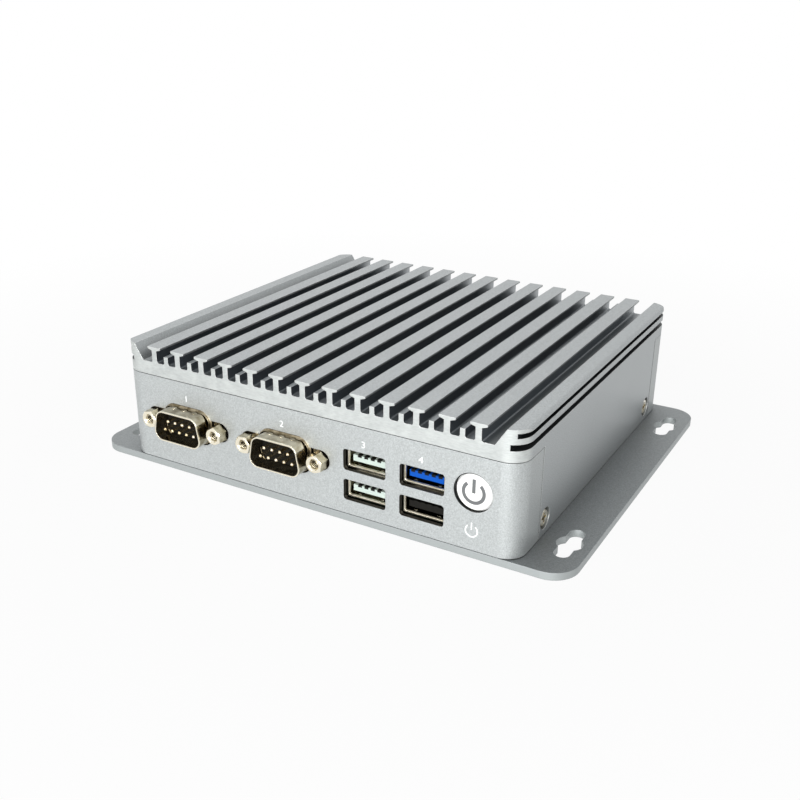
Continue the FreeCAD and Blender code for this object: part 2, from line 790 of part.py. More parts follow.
def end_panel(name, sign, reach):
    """A milled panel: thin face, thick returns round the corners, screw lugs behind the walls."""
    body = new_body(name)
    face = f"{sign}{HALF_Y}"
    inward = "+" if sign == "-" else "-"
    inner_x = f"({HALF_X} - dim.return_wall)"
    end_y = f"{face} {inward} {reach}"
    back_y = f"{face} {inward} dim.panel_thickness"
    plan = sketch_on(body, f"{name}_plan", "XY_Plane", WALL_FOOT)
    outline(plan, [
        (f"-{HALF_X}", end_y),
        (f"-{HALF_X}", face, "dim.body_corner"),
        (HALF_X, face, "dim.body_corner"),
        (HALF_X, end_y),
        (inner_x, end_y),
        (inner_x, back_y, "dim.return_inner_radius"),
        (f"-{inner_x}", back_y, "dim.return_inner_radius"),
        (f"-{inner_x}", end_y),
    ])
    pad(body, f"{name}_wall", plan, f"{ROOF_Z} - dim.fit_gap - {WALL_FOOT}")

    lug_plan = sketch_on(body, f"{name}_lug_plan", "XY_Plane", PLATE_TOP)
    rectangle(lug_plan, "dim.lug_face - dim.lug_thickness", f"{face} {inward} ({reach} - dim.lug_root)",
              "dim.lug_face", f"{face} {inward} ({reach} + dim.lug_reach)")
    lug = pad(body, f"{name}_lug", lug_plan, "dim.lug_rise")
    mirrored(body, f"{name}_lugs", [lug], "YZ_Plane")

    screw_y = f"{face} {inward} ({reach} + dim.side_screw_inset)"
    thread = sketch_on(body, f"{name}_thread", "YZ_Plane")
    circle(thread, screw_y, SIDE_SCREW_Z, "dim.screw_size + 2 * dim.thread_gap")
    pocket(body, f"{name}_threads", thread, "dim.body_width", symmetric=True)

    under = sketch_on(body, f"{name}_underside", "XY_Plane", PLATE_TOP)
    for x, y in base_screw_places():
        if y.startswith("-") == (sign == "-"):
            circle(under, x, y, "dim.screw_size + 2 * dim.thread_gap")
    pocket(body, f"{name}_base_threads", under, "dim.base_screw_length", backward=True)
    return body


def flange_seat(body, name, x, z, flange_width, face_y, backward):
    """A shallow recess behind the panel that lets a D-sub flange sit close to its front."""
    seat = sketch_on(body, f"{name}_seat", "XZ_Plane", f"-{face_y}")
    half = f"({flange_width} / 2 + dim.fit_gap)"
    rectangle(seat, f"{x} - {half}", f"{BOARD_TOP} - dim.fit_gap", f"{x} + {half}",
              f"{z} + dim.serial_flange_height / 2 + dim.fit_gap")
    pocket(body, f"{name}_seat_cut", seat, "dim.panel_thickness", backward=backward)


def front_panel():
    body = end_panel("front_panel", "-", "dim.front_return")
    depth = "dim.panel_thickness * 2"
    for side, x in serial_places():
        flange_seat(body, f"serial_{side}", x, SERIAL_Z, "dim.serial_flange_width", FLANGE_Y, False)
        opening = sketch_on(body, f"serial_opening_{side}", "XZ_Plane", HALF_Y)
        grow = "2 * dim.serial_cutout_margin"
        d_outline(opening, x, SERIAL_Z, f"dim.serial_shell_width + {grow}",
                  f"dim.serial_shell_height + {grow}", "dim.serial_corner + dim.serial_cutout_margin")
        pocket(body, f"serial_cut_{side}", opening, depth)
        ears = sketch_on(body, f"serial_ears_{side}", "XZ_Plane", HALF_Y)
        half = "(dim.jackscrew_span / 2 + dim.jackscrew_hole / 2)"
        rise = "dim.jackscrew_hole / 2"
        rectangle(ears, f"{x} - {half}", f"{SERIAL_Z} - {rise}", f"{x} + {half}",
                  f"{SERIAL_Z} + {rise}", "dim.jackscrew_hole / 2 - 0.01")
        pocket(body, f"serial_ear_cut_{side}", ears, depth)
    for side, x in usb_places():
        for level, z in usb_levels():
            opening = sketch_on(body, f"usb_opening_{side}_{level}", "XZ_Plane", HALF_Y)
            rectangle(opening, f"{x} - dim.usb_cutout_width / 2", f"{z} - dim.usb_cutout_height / 2",
                      f"{x} + dim.usb_cutout_width / 2", f"{z} + dim.usb_cutout_height / 2",
                      "dim.usb_cutout_corner")
            pocket(body, f"usb_cut_{side}_{level}", opening, depth)
    opening = sketch_on(body, "button_opening", "XZ_Plane", HALF_Y)
    circle(opening, "dim.button_x", BUTTON_Z, "dim.button_hole")
    pocket(body, "button_cut", opening, depth)
    keep(body, "front_panel")


def rear_panel():
    body = end_panel("rear_panel", "", "dim.rear_return")
    depth = "dim.panel_thickness * 2"
    outer = f"-{HALF_Y}"
    for side in ("left", "right"):
        opening = sketch_on(body, f"network_opening_{side}", "XZ_Plane", outer)
        x = f"dim.network_{side}_x"
        rectangle(opening, f"{x} - dim.network_width / 2 - dim.port_margin", f"{BOARD_TOP} - dim.port_margin",
                  f"{x} + dim.network_width / 2 + dim.port_margin",
                  f"{BOARD_TOP} + dim.network_height + dim.port_margin", "dim.port_margin")
        pocket(body, f"network_cut_{side}", opening, depth, backward=True)
    opening = sketch_on(body, "power_jack_opening", "XZ_Plane", outer)
    circle(opening, "dim.power_jack_x", f"{BOARD_TOP} + dim.power_jack_rise",
           "dim.power_jack_bore + 4 * dim.port_margin")
    pocket(body, "power_jack_cut", opening, depth, backward=True)
    opening = sketch_on(body, "video_opening", "XZ_Plane", outer)
    video_corners(opening, "dim.port_margin")
    pocket(body, "video_cut", opening, depth, backward=True)
    flange_seat(body, "monitor", "dim.monitor_x", MONITOR_Z, "dim.monitor_flange_width", REAR_FLANGE_Y, True)
    opening = sketch_on(body, "monitor_opening", "XZ_Plane", outer)
    grow = "2 * dim.serial_cutout_margin"
    d_outline(opening, "dim.monitor_x", MONITOR_Z, f"dim.monitor_shell_width + {grow}",
              f"dim.monitor_shell_height + {grow}", "dim.serial_corner + dim.serial_cutout_margin")
    pocket(body, "monitor_cut", opening, depth, backward=True)
    opening = sketch_on(body, "monitor_jackscrew_openings", "XZ_Plane", outer)
    for side in ("-", "+"):
        circle(opening, f"dim.monitor_x {side} dim.monitor_screw_span / 2", MONITOR_Z, "dim.jackscrew_hole")
    pocket(body, "monitor_jackscrew_cuts", opening, depth, backward=True)
    opening = sketch_on(body, "audio_opening", "XZ_Plane", outer)
    circle(opening, "dim.audio_x", f"{BOARD_TOP} + dim.audio_rise", "dim.audio_nose + 2 * dim.port_margin")
    pocket(body, "audio_cut", opening, depth, backward=True)
    opening = sketch_on(body, "antenna_openings", "XZ_Plane", outer)
    for side in ("-", ""):
        circle(opening, f"{side}dim.antenna_x", ANTENNA_Z, "dim.antenna_hole")
    pocket(body, "antenna_cuts", opening, depth, backward=True)
    keep(body, "rear_panel")


def video_corners(sketch, margin):
    """The video socket's outline: a box with its two lower corners cut off."""
    half = f"(dim.video_width / 2 + {margin})"
    low = f"({BOARD_TOP} - {margin})"
    high = f"({BOARD_TOP} + dim.video_height + {margin})"
    outline(sketch, [
        (f"dim.video_x - {half} + dim.video_slant_run", low),
        (f"dim.video_x + {half} - dim.video_slant_run", low),
        (f"dim.video_x + {half}", f"{low} + dim.video_slant_rise"),
        (f"dim.video_x + {half}", high),
        (f"dim.video_x - {half}", high),
        (f"dim.video_x - {half}", f"{low} + dim.video_slant_rise"),
    ])


# ---------------------------------------------------------------- base plate

def base_plate():
    """A flat plate with a wing on each side and a two-way keyhole near each corner."""
    body = new_body("plate_blank")
    plan = sketch_on(body, "plate_plan", "XY_Plane")
    rectangle(plan, f"-{PLATE_HALF_X}", f"-{HALF_Y}", PLATE_HALF_X, HALF_Y, "dim.plate_corner")
    pad(body, "plate", plan, PLATE_TOP)
    half_slot = "dim.keyhole_slot_width / 2"
    half_length = "dim.keyhole_slot_length / 2"
    heads = sketch_on(body, "keyhole_heads", "XY_Plane")
    for x, y in keyhole_places():
        circle(heads, x, y, "dim.keyhole_head_width")
    pocket(body, "keyhole_head_cuts", heads, PLATE_TOP, backward=True)
    slots = sketch_on(body, "keyhole_slots", "XY_Plane")
    for x, y in keyhole_places():
        rectangle(slots, f"{x} - {half_slot}", f"{y} - {half_length}", f"{x} + {half_slot}",
                  f"{y} + {half_length}", f"{half_slot} - 0.01")
    pocket(body, "keyhole_slot_cuts", slots, PLATE_TOP, backward=True)

    tools = []
    for number, (x, y) in enumerate(base_screw_places()):
        tools.append(cylinder(f"plate_hole_{number}", "dim.screw_size + 2 * dim.through_gap",
                              f"{PLATE_TOP} + 2", (x, y, "-1")))
        tools.append(countersink(f"plate_sink_{number}", (x, y, "0"), "dim.fit_gap"))
    plate = cut("plate_with_holes", body, tools)
    keep(plate, "base_plate")


def countersink(name, at, grow):
    """The 90 degree cone of a countersunk head, larger by a gap for its hole."""
    wide = f"(dim.screw_head_width + 2 * {grow})"
    narrow = f"(dim.screw_size + 2 * {grow})"
    return cone(name, wide, narrow, f"(dim.screw_head_width - dim.screw_size) / 2", at)


# ---------------------------------------------------------------- screws

def cross_recess(name, at, along):
    """Two crossing slots that sink into a screw head from its outer face."""
    arms = []
    spans = ("dim.screw_recess_span", "dim.screw_recess_width")
    for turn, (wide, narrow) in enumerate((spans, spans[::-1])):
        deep = "dim.screw_recess_depth"
        across = {"x": (f"{deep}", wide, narrow), "y": (wide, f"{deep}", narrow),
                  "z": (wide, narrow, f"{deep}")}[along[-1]]
        start = [f"{part} - ({size}) / 2" for part, size in zip(at, across)]
        index = "xyz".index(along[-1])
        start[index] = at[index] if not along.startswith("-") else f"{at[index]} - ({deep})"
        arms.append(box(f"{name}_arm_{turn}", *across, tuple(start)))
    return arms


def pan_screw(name, seat, along, length):
    """Pan head screw: the shank runs along the axis, the head stands on the seat."""
    head_at = shifted(seat, opposite(along), "dim.screw_head_height")
    shank = cylinder(f"{name}_shank", "dim.screw_size", f"{length} + 0.5",
                     shifted(seat, opposite(along), "0.5"), along)
    head = cone(f"{name}_head", "dim.screw_head_width * 0.8", "dim.screw_head_width",
                "dim.screw_head_height / 2", head_at, along)
    rim = cylinder(f"{name}_rim", "dim.screw_head_width", "dim.screw_head_height / 2",
                   shifted(head_at, along, "dim.screw_head_height / 2"), along)
    solid = fuse(f"{name}_solid", [shank, head, rim])
    return cut(name, solid, cross_recess(name, head_at, along))


def countersunk_screw(name, face, length):
    """Countersunk screw driven up from below, its head flush with the face."""
    head = countersink(f"{name}_head", face, "0")
    shank = cylinder(f"{name}_shank", "dim.screw_size", length, face)
    return cut(name, fuse(f"{name}_solid", [head, shank]), cross_recess(name, face, "z"))


def side_screws():
    screws = []
    for end, y in side_screw_places():
        for side, sign, along in (("left", "-", "x"), ("right", "", "-x")):
            inward = "+" if sign == "-" else "-"
            seat = (f"{sign}{HALF_X} {inward} dim.head_pocket_depth", y, SIDE_SCREW_Z)
            screws.append(pan_screw(f"side_screw_{end}_{side}", seat, along, "dim.side_screw_length"))
    keep(group("side_screws", screws), "side_screws")


def base_screws():
    screws = [countersunk_screw(f"base_screw_{i}", (x, y, "0"), "dim.base_screw_length")
              for i, (x, y) in enumerate(base_screw_places())]
    keep(group("base_screws", screws), "base_screws")


# ---------------------------------------------------------------- main board and its parts

def main_board():
    blank = box("board_blank", "2 * dim.board_half_width", "2 * dim.board_half_depth", "dim.board_thickness",
                ("-dim.board_half_width", "-dim.board_half_depth", BOARD_BOTTOM))
    holes = [cylinder(f"board_hole_{i}", "dim.screw_size + 2 * dim.through_gap", "dim.board_thickness + 2",
                      (x, y, f"{BOARD_BOTTOM} - 1"))
             for i, (x, y) in enumerate(board_hole_places())]
    keep(cut("main_board", blank, holes), "main_board")

    standoffs = []
    for i, (x, y) in enumerate(board_hole_places()):
        post = primitive("Part::Prism", f"standoff_post_{i}", (x, y, PLATE_TOP),
                         Circumradius="dim.standoff_width / 2", Height="dim.standoff_height")
        bore = cylinder(f"standoff_bore_{i}", "dim.screw_size + 2 * dim.thread_gap",
                        "dim.standoff_height + 2", (x, y, f"{PLATE_TOP} - 1"))
        standoffs.append(cut(f"standoff_{i}", post, [bore]))
    keep(group("board_standoffs", standoffs), "board_standoffs")

    screws = [pan_screw(f"board_screw_{i}", (x, y, BOARD_TOP), "-z", "dim.board_screw_length")
              for i, (x, y) in enumerate(board_hole_places())]
    keep(group("board_screws", screws), "board_screws")


def heat_path():
    """Processor, thermal pad and the block that carries the heat to the finned roof."""
    half = "dim.processor_width / 2"
    substrate = box("substrate", "dim.processor_width", "dim.processor_width", "dim.substrate_thickness",
                    (f"-{half}", f"-{half}", BOARD_TOP))
    die_z = f"({BOARD_TOP} + dim.substrate_thickness)"
    die = box("die", "dim.die_width", "dim.die_width", "dim.die_thickness",
              ("-dim.die_width / 2", "-dim.die_width / 2", die_z))
    keep(fuse("processor", [substrate, die]), "processor")

    pad_z = f"({die_z} + dim.die_thickness)"
    thermal_pad = box("thermal_pad", "dim.die_width", "dim.die_width", "dim.pad_thickness",
                      ("-dim.die_width / 2", "-dim.die_width / 2", pad_z))
    keep(thermal_pad, "thermal_pad")

    block_z = f"({pad_z} + dim.pad_thickness)"
    flange_z = f"({ROOF_Z} - dim.block_flange_thickness)"
    column = box("block_column", "dim.block_width", "dim.block_width", f"{ROOF_Z} - {block_z}",
                 ("-dim.block_width / 2", "-dim.block_width / 2", block_z))
    flange = box("block_flange", "dim.block_flange_width", "dim.block_flange_width",
                 "dim.block_flange_thickness",
                 ("-dim.block_flange_width / 2", "-dim.block_flange_width / 2", flange_z))
    holes = [cylinder(f"block_hole_{i}", "dim.screw_size + 2 * dim.through_gap",
                      "dim.block_flange_thickness + 2", (x, y, f"{flange_z} - 1"))
             for i, (x, y) in enumerate(block_screw_places())]
    keep(cut("thermal_block", fuse("block_solid", [column, flange]), holes), "thermal_block")

    length = "dim.block_flange_thickness + dim.block_screw_bite"
    screws = [pan_screw(f"block_screw_{i}", (x, y, flange_z), "z", length)
              for i, (x, y) in enumerate(block_screw_places())]
    keep(group("block_screws", screws), "block_screws")


def memory():
    """A memory module lying in its low socket between the board screws and the heat path."""
    card_x = "(-dim.block_width / 2 - dim.memory_gap - dim.memory_width)"
    socket_x = f"({card_x} - dim.fit_gap - dim.memory_inset)"
    card_z = f"({BOARD_TOP} + dim.card_lift)"
    card_top = f"({card_z} + dim.card_thickness)"
    half = "dim.socket_length / 2"
    block = box("memory_socket_block", "dim.socket_width", "dim.socket_length", "dim.socket_height",
                (socket_x, f"-{half}", BOARD_TOP))
    mouth = box("memory_socket_mouth", "dim.socket_width", "dim.memory_length + 2 * dim.fit_gap",
                "dim.card_thickness + 2 * dim.fit_gap",
                (f"{card_x} - dim.fit_gap", "-dim.memory_length / 2 - dim.fit_gap", f"{card_z} - dim.fit_gap"))
    arms = [box(f"memory_arm_{side}", "dim.memory_width - dim.socket_width", "dim.socket_arm_width",
                "dim.socket_height", (f"{socket_x} + dim.socket_width", y, BOARD_TOP))
            for side, y in (("front", f"-{half}"), ("rear", f"{half} - dim.socket_arm_width"))]
    keep(fuse("memory_socket", [cut("memory_socket_body", block, [mouth])] + arms), "memory_socket")

    card = box("memory_card", "dim.memory_width", "dim.memory_length", "dim.card_thickness",
               (card_x, "-dim.memory_length / 2", card_z))
    chip_x = "(-dim.block_width / 2 - dim.memory_gap - (dim.memory_width - dim.socket_width) / 2)"
    chips = [centred_box(f"memory_chip_{i}", chip_x, "dim.memory_chip_width",
                         f"{step} * dim.memory_chip_pitch - dim.memory_chip_length / 2",
                         f"{step} * dim.memory_chip_pitch + dim.memory_chip_length / 2",
                         card_top, f"{card_top} + dim.chip_thickness")
             for i, step in enumerate((-1.5, -0.5, 0.5, 1.5))]
    keep(fuse("memory_module", [card] + chips), "memory_module")


def storage():
    """A solid state drive card held by its socket and one screw on a post."""
    x = "dim.storage_x"
    socket_back = "(dim.storage_socket_y + dim.storage_socket_depth)"
    card_z = f"({BOARD_TOP} + dim.card_lift)"
    card_top = f"({card_z} + dim.card_thickness)"
    card_y = f"({socket_back} - dim.storage_inset)"
    board_y = f"({socket_back} + dim.fit_gap)"
    far_y = f"({card_y} + dim.storage_length)"
    tab_width = "(dim.storage_width - 2 * dim.card_thickness)"
    block = centred_box("storage_socket_block", x, "dim.storage_width", "dim.storage_socket_y", socket_back,
                        BOARD_TOP, f"{BOARD_TOP} + dim.storage_socket_height")
    mouth = centred_box("storage_socket_mouth", x, f"{tab_width} + 2 * dim.fit_gap",
                        f"{card_y} - dim.fit_gap", f"{socket_back} + 1", f"{card_z} - dim.fit_gap",
                        f"{card_top} + dim.fit_gap")
    keep(cut("storage_socket", block, [mouth]), "storage_socket")

    tab = centred_box("storage_tab", x, tab_width, card_y, board_y, card_z, card_top)
    card = centred_box("storage_board", x, "dim.storage_width", board_y, far_y, card_z, card_top)
    chips = []
    for i in (0, 1):
        start = f"({board_y} + dim.storage_chip_gap + {i} * (dim.storage_chip_length + dim.storage_chip_gap))"
        chips.append(centred_box(f"storage_chip_{i}", x, "dim.storage_chip_width", start,
                                 f"{start} + dim.storage_chip_length", card_top,
                                 f"{card_top} + dim.chip_thickness"))
    notch = cylinder("storage_notch", "dim.storage_screw_size + 2 * dim.through_gap", "4",
                     (x, far_y, f"{card_z} - 1"))
    solid = fuse("storage_solid", [tab, card] + chips)
    keep(cut("storage_card", solid, [notch]), "storage_card")

    post = cylinder("storage_post_blank", "dim.storage_post_width", "dim.card_lift", (x, far_y, BOARD_TOP))
    bore = cylinder("storage_post_bore", "dim.storage_screw_size + 2 * dim.thread_gap",
                    "dim.card_lift + 2", (x, far_y, BOARD_TOP))
    keep(cut("storage_post", post, [bore]), "storage_post")
    shank_z = f"({BOARD_TOP} + dim.fit_gap)"
    shank = cylinder("storage_screw_shank", "dim.storage_screw_size", f"{card_top} - {shank_z}",
                     (x, far_y, shank_z))
    head = cylinder("storage_screw_head", "dim.storage_head_width", "dim.storage_head_height",
                    (x, far_y, card_top))
    keep(fuse("storage_screw", [shank, head]), "storage_screw")


def coin_cell():
    x = "dim.cell_x"
    y = "dim.cell_y"
    outer = cylinder("cell_cup", "dim.cell_diameter + 2 * dim.cell_rim",
                     "dim.cell_floor + dim.cell_thickness - dim.fit_gap", (x, y, BOARD_TOP))
    room = cylinder("cell_room", "dim.cell_diameter + 2 * dim.fit_gap", "dim.cell_thickness + 2",
                    (x, y, f"{BOARD_TOP} + dim.cell_floor"))
    keep(cut("cell_holder", outer, [room]), "cell_holder")
    keep(cylinder("coin_cell", "dim.cell_diameter", "dim.cell_thickness",
                  (x, y, f"{BOARD_TOP} + dim.cell_floor")), "coin_cell")


def power_parts():
    """Inductors in front of the processor and capacitors behind it."""
    inductors = [centred_box(f"inductor_{i}", f"({i} * dim.board_part_pitch)", "dim.inductor_width",
                             "dim.inductor_y - dim.inductor_width / 2",
                             "dim.inductor_y + dim.inductor_width / 2", BOARD_TOP,
                             f"{BOARD_TOP} + dim.inductor_height")
                 for i in (-1, 0, 1)]
    keep(group("inductors", inductors), "inductors")
    capacitors = [cylinder(f"capacitor_{i}", "dim.capacitor_diameter", "dim.capacitor_height",
                           (f"({i} * dim.board_part_pitch)", "dim.capacitor_y", BOARD_TOP))
                  for i in (-1, 0, 1)]
    keep(group("capacitors", capacitors), "capacitors")


# ---------------------------------------------------------------- serial plugs

def serial_pins(x):
    """Offsets of the nine pins: five in the lower row, four above between them."""
    rows = [("-", (-2, -1, 0, 1, 2)), ("+", (-1.5, -0.5, 0.5, 1.5))]
    for sign, columns in rows:
        for column in columns:
            yield (f"({x} + {column} * dim.pin_pitch)", f"({SERIAL_Z} {sign} dim.pin_row_pitch / 2)",
                   sign == "+")


def bend_edges(body, name, centre, half_width, half_height):
    """Round the drawn corner where a D-shaped tube rises from its flange."""
    round_edges(body, f"{name}_bend", "dim.serial_bend",
                lambda edge: edge.BoundBox.YLength < 1e-4 and near(edge.CenterOfMass.y, centre[1])
                and abs(edge.CenterOfMass.x - centre[0]) < half_width + 0.01
                and abs(edge.CenterOfMass.z - centre[2]) < half_height + 0.01)


def serial_plug(side, x):
    flange_back = f"({FLANGE_Y} + dim.serial_flange_thickness)"
    tip = f"({FLANGE_Y} - dim.serial_protrusion)"
    name = f"serial_shell_{side}"
    body = new_body(name)
    tube = sketch_on(body, f"{name}_tube_outline", "XZ_Plane", f"-{flange_back}")
    d_outline(tube, x, SERIAL_Z, "dim.serial_shell_width", "dim.serial_shell_height", "dim.serial_corner")
    pad(body, f"{name}_tube", tube, "dim.serial_protrusion + dim.serial_flange_thickness")
    plate = sketch_on(body, f"{name}_flange_outline", "XZ_Plane", f"-{flange_back}")
    rectangle(plate, f"{x} - dim.serial_flange_width / 2", f"{SERIAL_Z} - dim.serial_flange_height / 2",
              f"{x} + dim.serial_flange_width / 2", f"{SERIAL_Z} + dim.serial_flange_height / 2",
              "dim.serial_flange_corner")
    pad(body, f"{name}_flange", plate, "dim.serial_flange_thickness")
    bend_edges(body, name, (value(x), value(FLANGE_Y), value(SERIAL_Z)),
               value("dim.serial_shell_width / 2"), value("dim.serial_shell_height / 2"))
    inner = sketch_on(body, f"{name}_inner_outline", "XZ_Plane", f"-{tip}")
    shrink = "2 * dim.serial_shell_wall"
    d_outline(inner, x, SERIAL_Z, f"dim.serial_shell_width - {shrink}", f"dim.serial_shell_height - {shrink}",
              "dim.serial_corner - dim.serial_shell_wall")
    pocket(body, f"{name}_bore", inner, "dim.serial_protrusion + dim.serial_flange_thickness + 1")
    holes = sketch_on(body, f"{name}_stud_holes", "XZ_Plane", f"-{FLANGE_Y}")
    for sign in ("-", "+"):
        circle(holes, f"{x} {sign} dim.jackscrew_span / 2", SERIAL_Z,
               "dim.jackscrew_stud + 2 * dim.through_gap")
    pocket(body, f"{name}_stud_cuts", holes, "dim.serial_flange_thickness + 1")
    keep(body, name)

    name = f"serial_insulator_{side}"
    body = new_body(name)
    nose = sketch_on(body, f"{name}_nose_outline", "XZ_Plane", f"-{flange_back}")
    shrink = "2 * (dim.serial_shell_wall + dim.thread_gap)"
    d_outline(nose, x, SERIAL_Z, f"dim.serial_shell_width - {shrink}", f"dim.serial_shell_height - {shrink}",
              "dim.serial_corner - dim.serial_shell_wall")
    pad(body, f"{name}_nose", nose, "dim.serial_flange_thickness + dim.serial_nose")
    block = sketch_on(body, f"{name}_block_outline", "XZ_Plane", f"-{flange_back}")
    rectangle(block, f"{x} - dim.serial_flange_width / 2 + dim.fit_gap", BOARD_TOP,
              f"{x} + dim.serial_flange_width / 2 - dim.fit_gap",
              f"{SERIAL_Z} + dim.serial_flange_height / 2 - dim.fit_gap")
    pad(body, f"{name}_block", block, "dim.serial_body_depth", backward=True)
    holes = sketch_on(body, f"{name}_pin_holes", "XZ_Plane", f"-{tip}")
    for pin_x, pin_z, _ in serial_pins(x):
        circle(holes, pin_x, pin_z, "dim.pin_diameter + 2 * dim.thread_gap")
    for sign in ("-", "+"):
        circle(holes, f"{x} {sign} dim.jackscrew_span / 2", SERIAL_Z,
               "dim.jackscrew_stud + 2 * dim.thread_gap")
    pocket(body, f"{name}_bores", holes,
           "dim.serial_protrusion + dim.serial_flange_thickness + dim.serial_body_depth + 1")
    keep(body, name)

    contacts = []
    block_back = f"({flange_back} + dim.serial_body_depth)"
    for number, (pin_x, pin_z, upper) in enumerate(serial_pins(x)):
        start = f"({tip} + dim.pin_setback)"
        bend = f"({block_back} + dim.{'far' if upper else 'near'}_lead_reach)"
        point = cone(f"pin_point_{side}_{number}", "dim.pin_diameter * 0.45", "dim.pin_diameter",
                     "dim.pin_diameter * 0.3", (pin_x, start, pin_z), "y")
        shaft = cylinder(f"pin_shaft_{side}_{number}", "dim.pin_diameter",
                         f"{bend} - {start} - dim.pin_diameter * 0.3",
                         (pin_x, f"{start} + dim.pin_diameter * 0.3", pin_z), "y")
        lead = centred_box(f"pin_lead_{side}_{number}", pin_x, "dim.lead_width",
                           f"{bend} - dim.lead_width", bend, BOARD_TOP, pin_z)
        contacts.append(fuse(f"pin_{side}_{number}", [point, shaft, lead]))
    keep(group(f"serial_contacts_{side}", contacts), f"serial_contacts_{side}")


def jackscrew(name, x, z, seat, along, turn):
    """Hexagonal jackscrew: threaded stud into the flange, threaded socket facing out."""
    out = opposite(along)
    circumference = "(dim.jackscrew_flats / sqrt(3))"
    hexagon = primitive("Part::Prism", f"{name}_hexagon", (x, seat, z), out,
                        Circumradius=circumference, Height="dim.jackscrew_length")
    hexagon.Placement.Rotation = TURNS[out].multiply(FreeCAD.Rotation(FreeCAD.Vector(0, 0, 1), turn))
    mouth = shifted((x, seat, z), out, "dim.jackscrew_length")
    turned = cone(f"{name}_turning", f"2 * {circumference} + 2 * dim.jackscrew_length",
                  "dim.jackscrew_flats * 0.96", "dim.jackscrew_length", (x, seat, z), out)
    stud = cylinder(f"{name}_stud", "dim.jackscrew_stud", "dim.jackscrew_stud_length + 0.5",
                    shifted((x, seat, z), out, "0.5"), along)
    bore = cylinder(f"{name}_bore", "dim.jackscrew_bore", "dim.jackscrew_bore_depth", mouth, along)
    sink = cone(f"{name}_sink", "dim.jackscrew_bore + 2 * dim.jackscrew_chamfer", "dim.jackscrew_bore",
                "dim.jackscrew_chamfer", mouth, along)
    solid = fuse(f"{name}_solid", [common(f"{name}_head", hexagon, turned), stud])
    return cut(name, solid, [bore, sink])


def jackscrews():
    screws = []
    turns = {"left-": 12, "left+": 27, "right-": 5, "right+": 20}
    for side, x in serial_places():
        for sign in ("-", "+"):
            screws.append(jackscrew(f"jackscrew_{side}_{'inner' if sign == '+' else 'outer'}",
                                    f"({x} {sign} dim.jackscrew_span / 2)", SERIAL_Z, FLANGE_Y, "y",
                                    turns[side + sign]))
    for sign in ("-", "+"):
        screws.append(jackscrew(f"jackscrew_monitor_{'left' if sign == '-' else 'right'}",
                                f"(dim.monitor_x {sign} dim.monitor_screw_span / 2)", MONITOR_Z,
                                REAR_FLANGE_Y, "-y", 10))
    keep(group("jackscrews", screws), "jackscrews")


# ---------------------------------------------------------------- stacked USB sockets

def usb_stack(side, x):
    front = f"({PANEL_REAR} + dim.usb_setback)"
    back = f"({front} + dim.usb_depth)"
    (_, lower), (_, upper) = usb_levels()
    half = "dim.usb_opening_height / 2"
    wide = "dim.usb_shell_width"
    band = f"({front} + dim.usb_band_setback)"
    wall_end = f"({back} - dim.usb_back_wall)"
    tubes = [centred_box(f"usb_tube_{side}_{level}", x, wide, front, wall_end,
                         f"{z} - {half} - dim.usb_wall", f"{z} + {half} + dim.usb_wall")
             for level, z in usb_levels()]
    can = centred_box(f"usb_can_{side}", x, wide, band, back, BOARD_TOP, f"{upper} + {half} + dim.usb_wall")
    tools = [centred_box(f"usb_mouth_{side}_{level}", x, "dim.usb_opening_width", f"{front} - 1",
                         f"{wall_end} + 1", f"{z} - {half}", f"{z} + {half}")
             for level, z in usb_levels()]
    tools.append(centred_box(f"usb_band_room_{side}", x, "dim.usb_opening_width", f"{band} + dim.usb_wall",
                             f"{wall_end} + 1", f"{lower} + {half} + dim.usb_wall",
                             f"{upper} - {half} - dim.usb_wall"))
    tools.append(centred_box(f"usb_back_room_{side}", x, "dim.usb_opening_width", wall_end,
                             f"{back} + 1", f"{lower} - {half}", f"{upper} + {half}"))
    keep(cut(f"usb_shell_{side}", fuse(f"usb_housing_{side}", tubes + [can]), tools), f"usb_shell_{side}")

    slim = "(dim.usb_opening_width - 2 * dim.thread_gap)"
    rear_block = centred_box(f"usb_rear_block_{side}", x, slim, wall_end, back,
                             f"{lower} - {half} + dim.thread_gap", f"{upper} + {half} - dim.thread_gap")
    middle = centred_box(f"usb_middle_{side}", x, slim, f"{band} + dim.usb_wall + dim.thread_gap", wall_end,
                         f"{lower} + {half} + dim.usb_wall + dim.thread_gap",
                         f"{upper} - {half} - dim.usb_wall - dim.thread_gap")
    tongues = {level: usb_tongue(side, level, x, z, front, wall_end) for level, z in usb_levels()}
    if side == "left":
        pieces = [rear_block, middle, tongues["lower"], tongues["upper"]]
    else:
        pieces = [rear_block, middle, tongues["lower"]]
        keep(tongues["upper"], "usb_tongue_fast")
    keep(fuse(f"usb_insulator_{side}", pieces), f"usb_insulator_{side}")

    strips = []
    for level, z in usb_levels():
        top = f"({z} + dim.usb_tongue_offset + dim.usb_tongue_thickness / 2)"
        columns = (-2, -1, 0, 1, 2) if (side, level) == ("right", "upper") else (-1.5, -0.5, 0.5, 1.5)
        for number, column in enumerate(columns):
            start = f"({front} + dim.usb_tongue_setback + dim.usb_contact_setback)"
            strips.append(centred_box(f"usb_strip_{side}_{level}_{number}",
                                      f"({x} + {column} * dim.usb_contact_pitch)", "dim.usb_contact_width",
                                      start, f"{start} + dim.usb_contact_length", top,
                                      f"{top} + dim.usb_contact_thickness"))
    keep(group(f"usb_contacts_{side}", strips), f"usb_contacts_{side}")


def usb_tongue(side, level, x, z, front, wall_end):
    middle = f"({z} + dim.usb_tongue_offset)"
    return centred_box(f"usb_tongue_{side}_{level}", x, "dim.usb_tongue_width",
                       f"{front} + dim.usb_tongue_setback", wall_end,
                       f"{middle} - dim.usb_tongue_thickness / 2", f"{middle} + dim.usb_tongue_thickness / 2")


# ---------------------------------------------------------------- power button

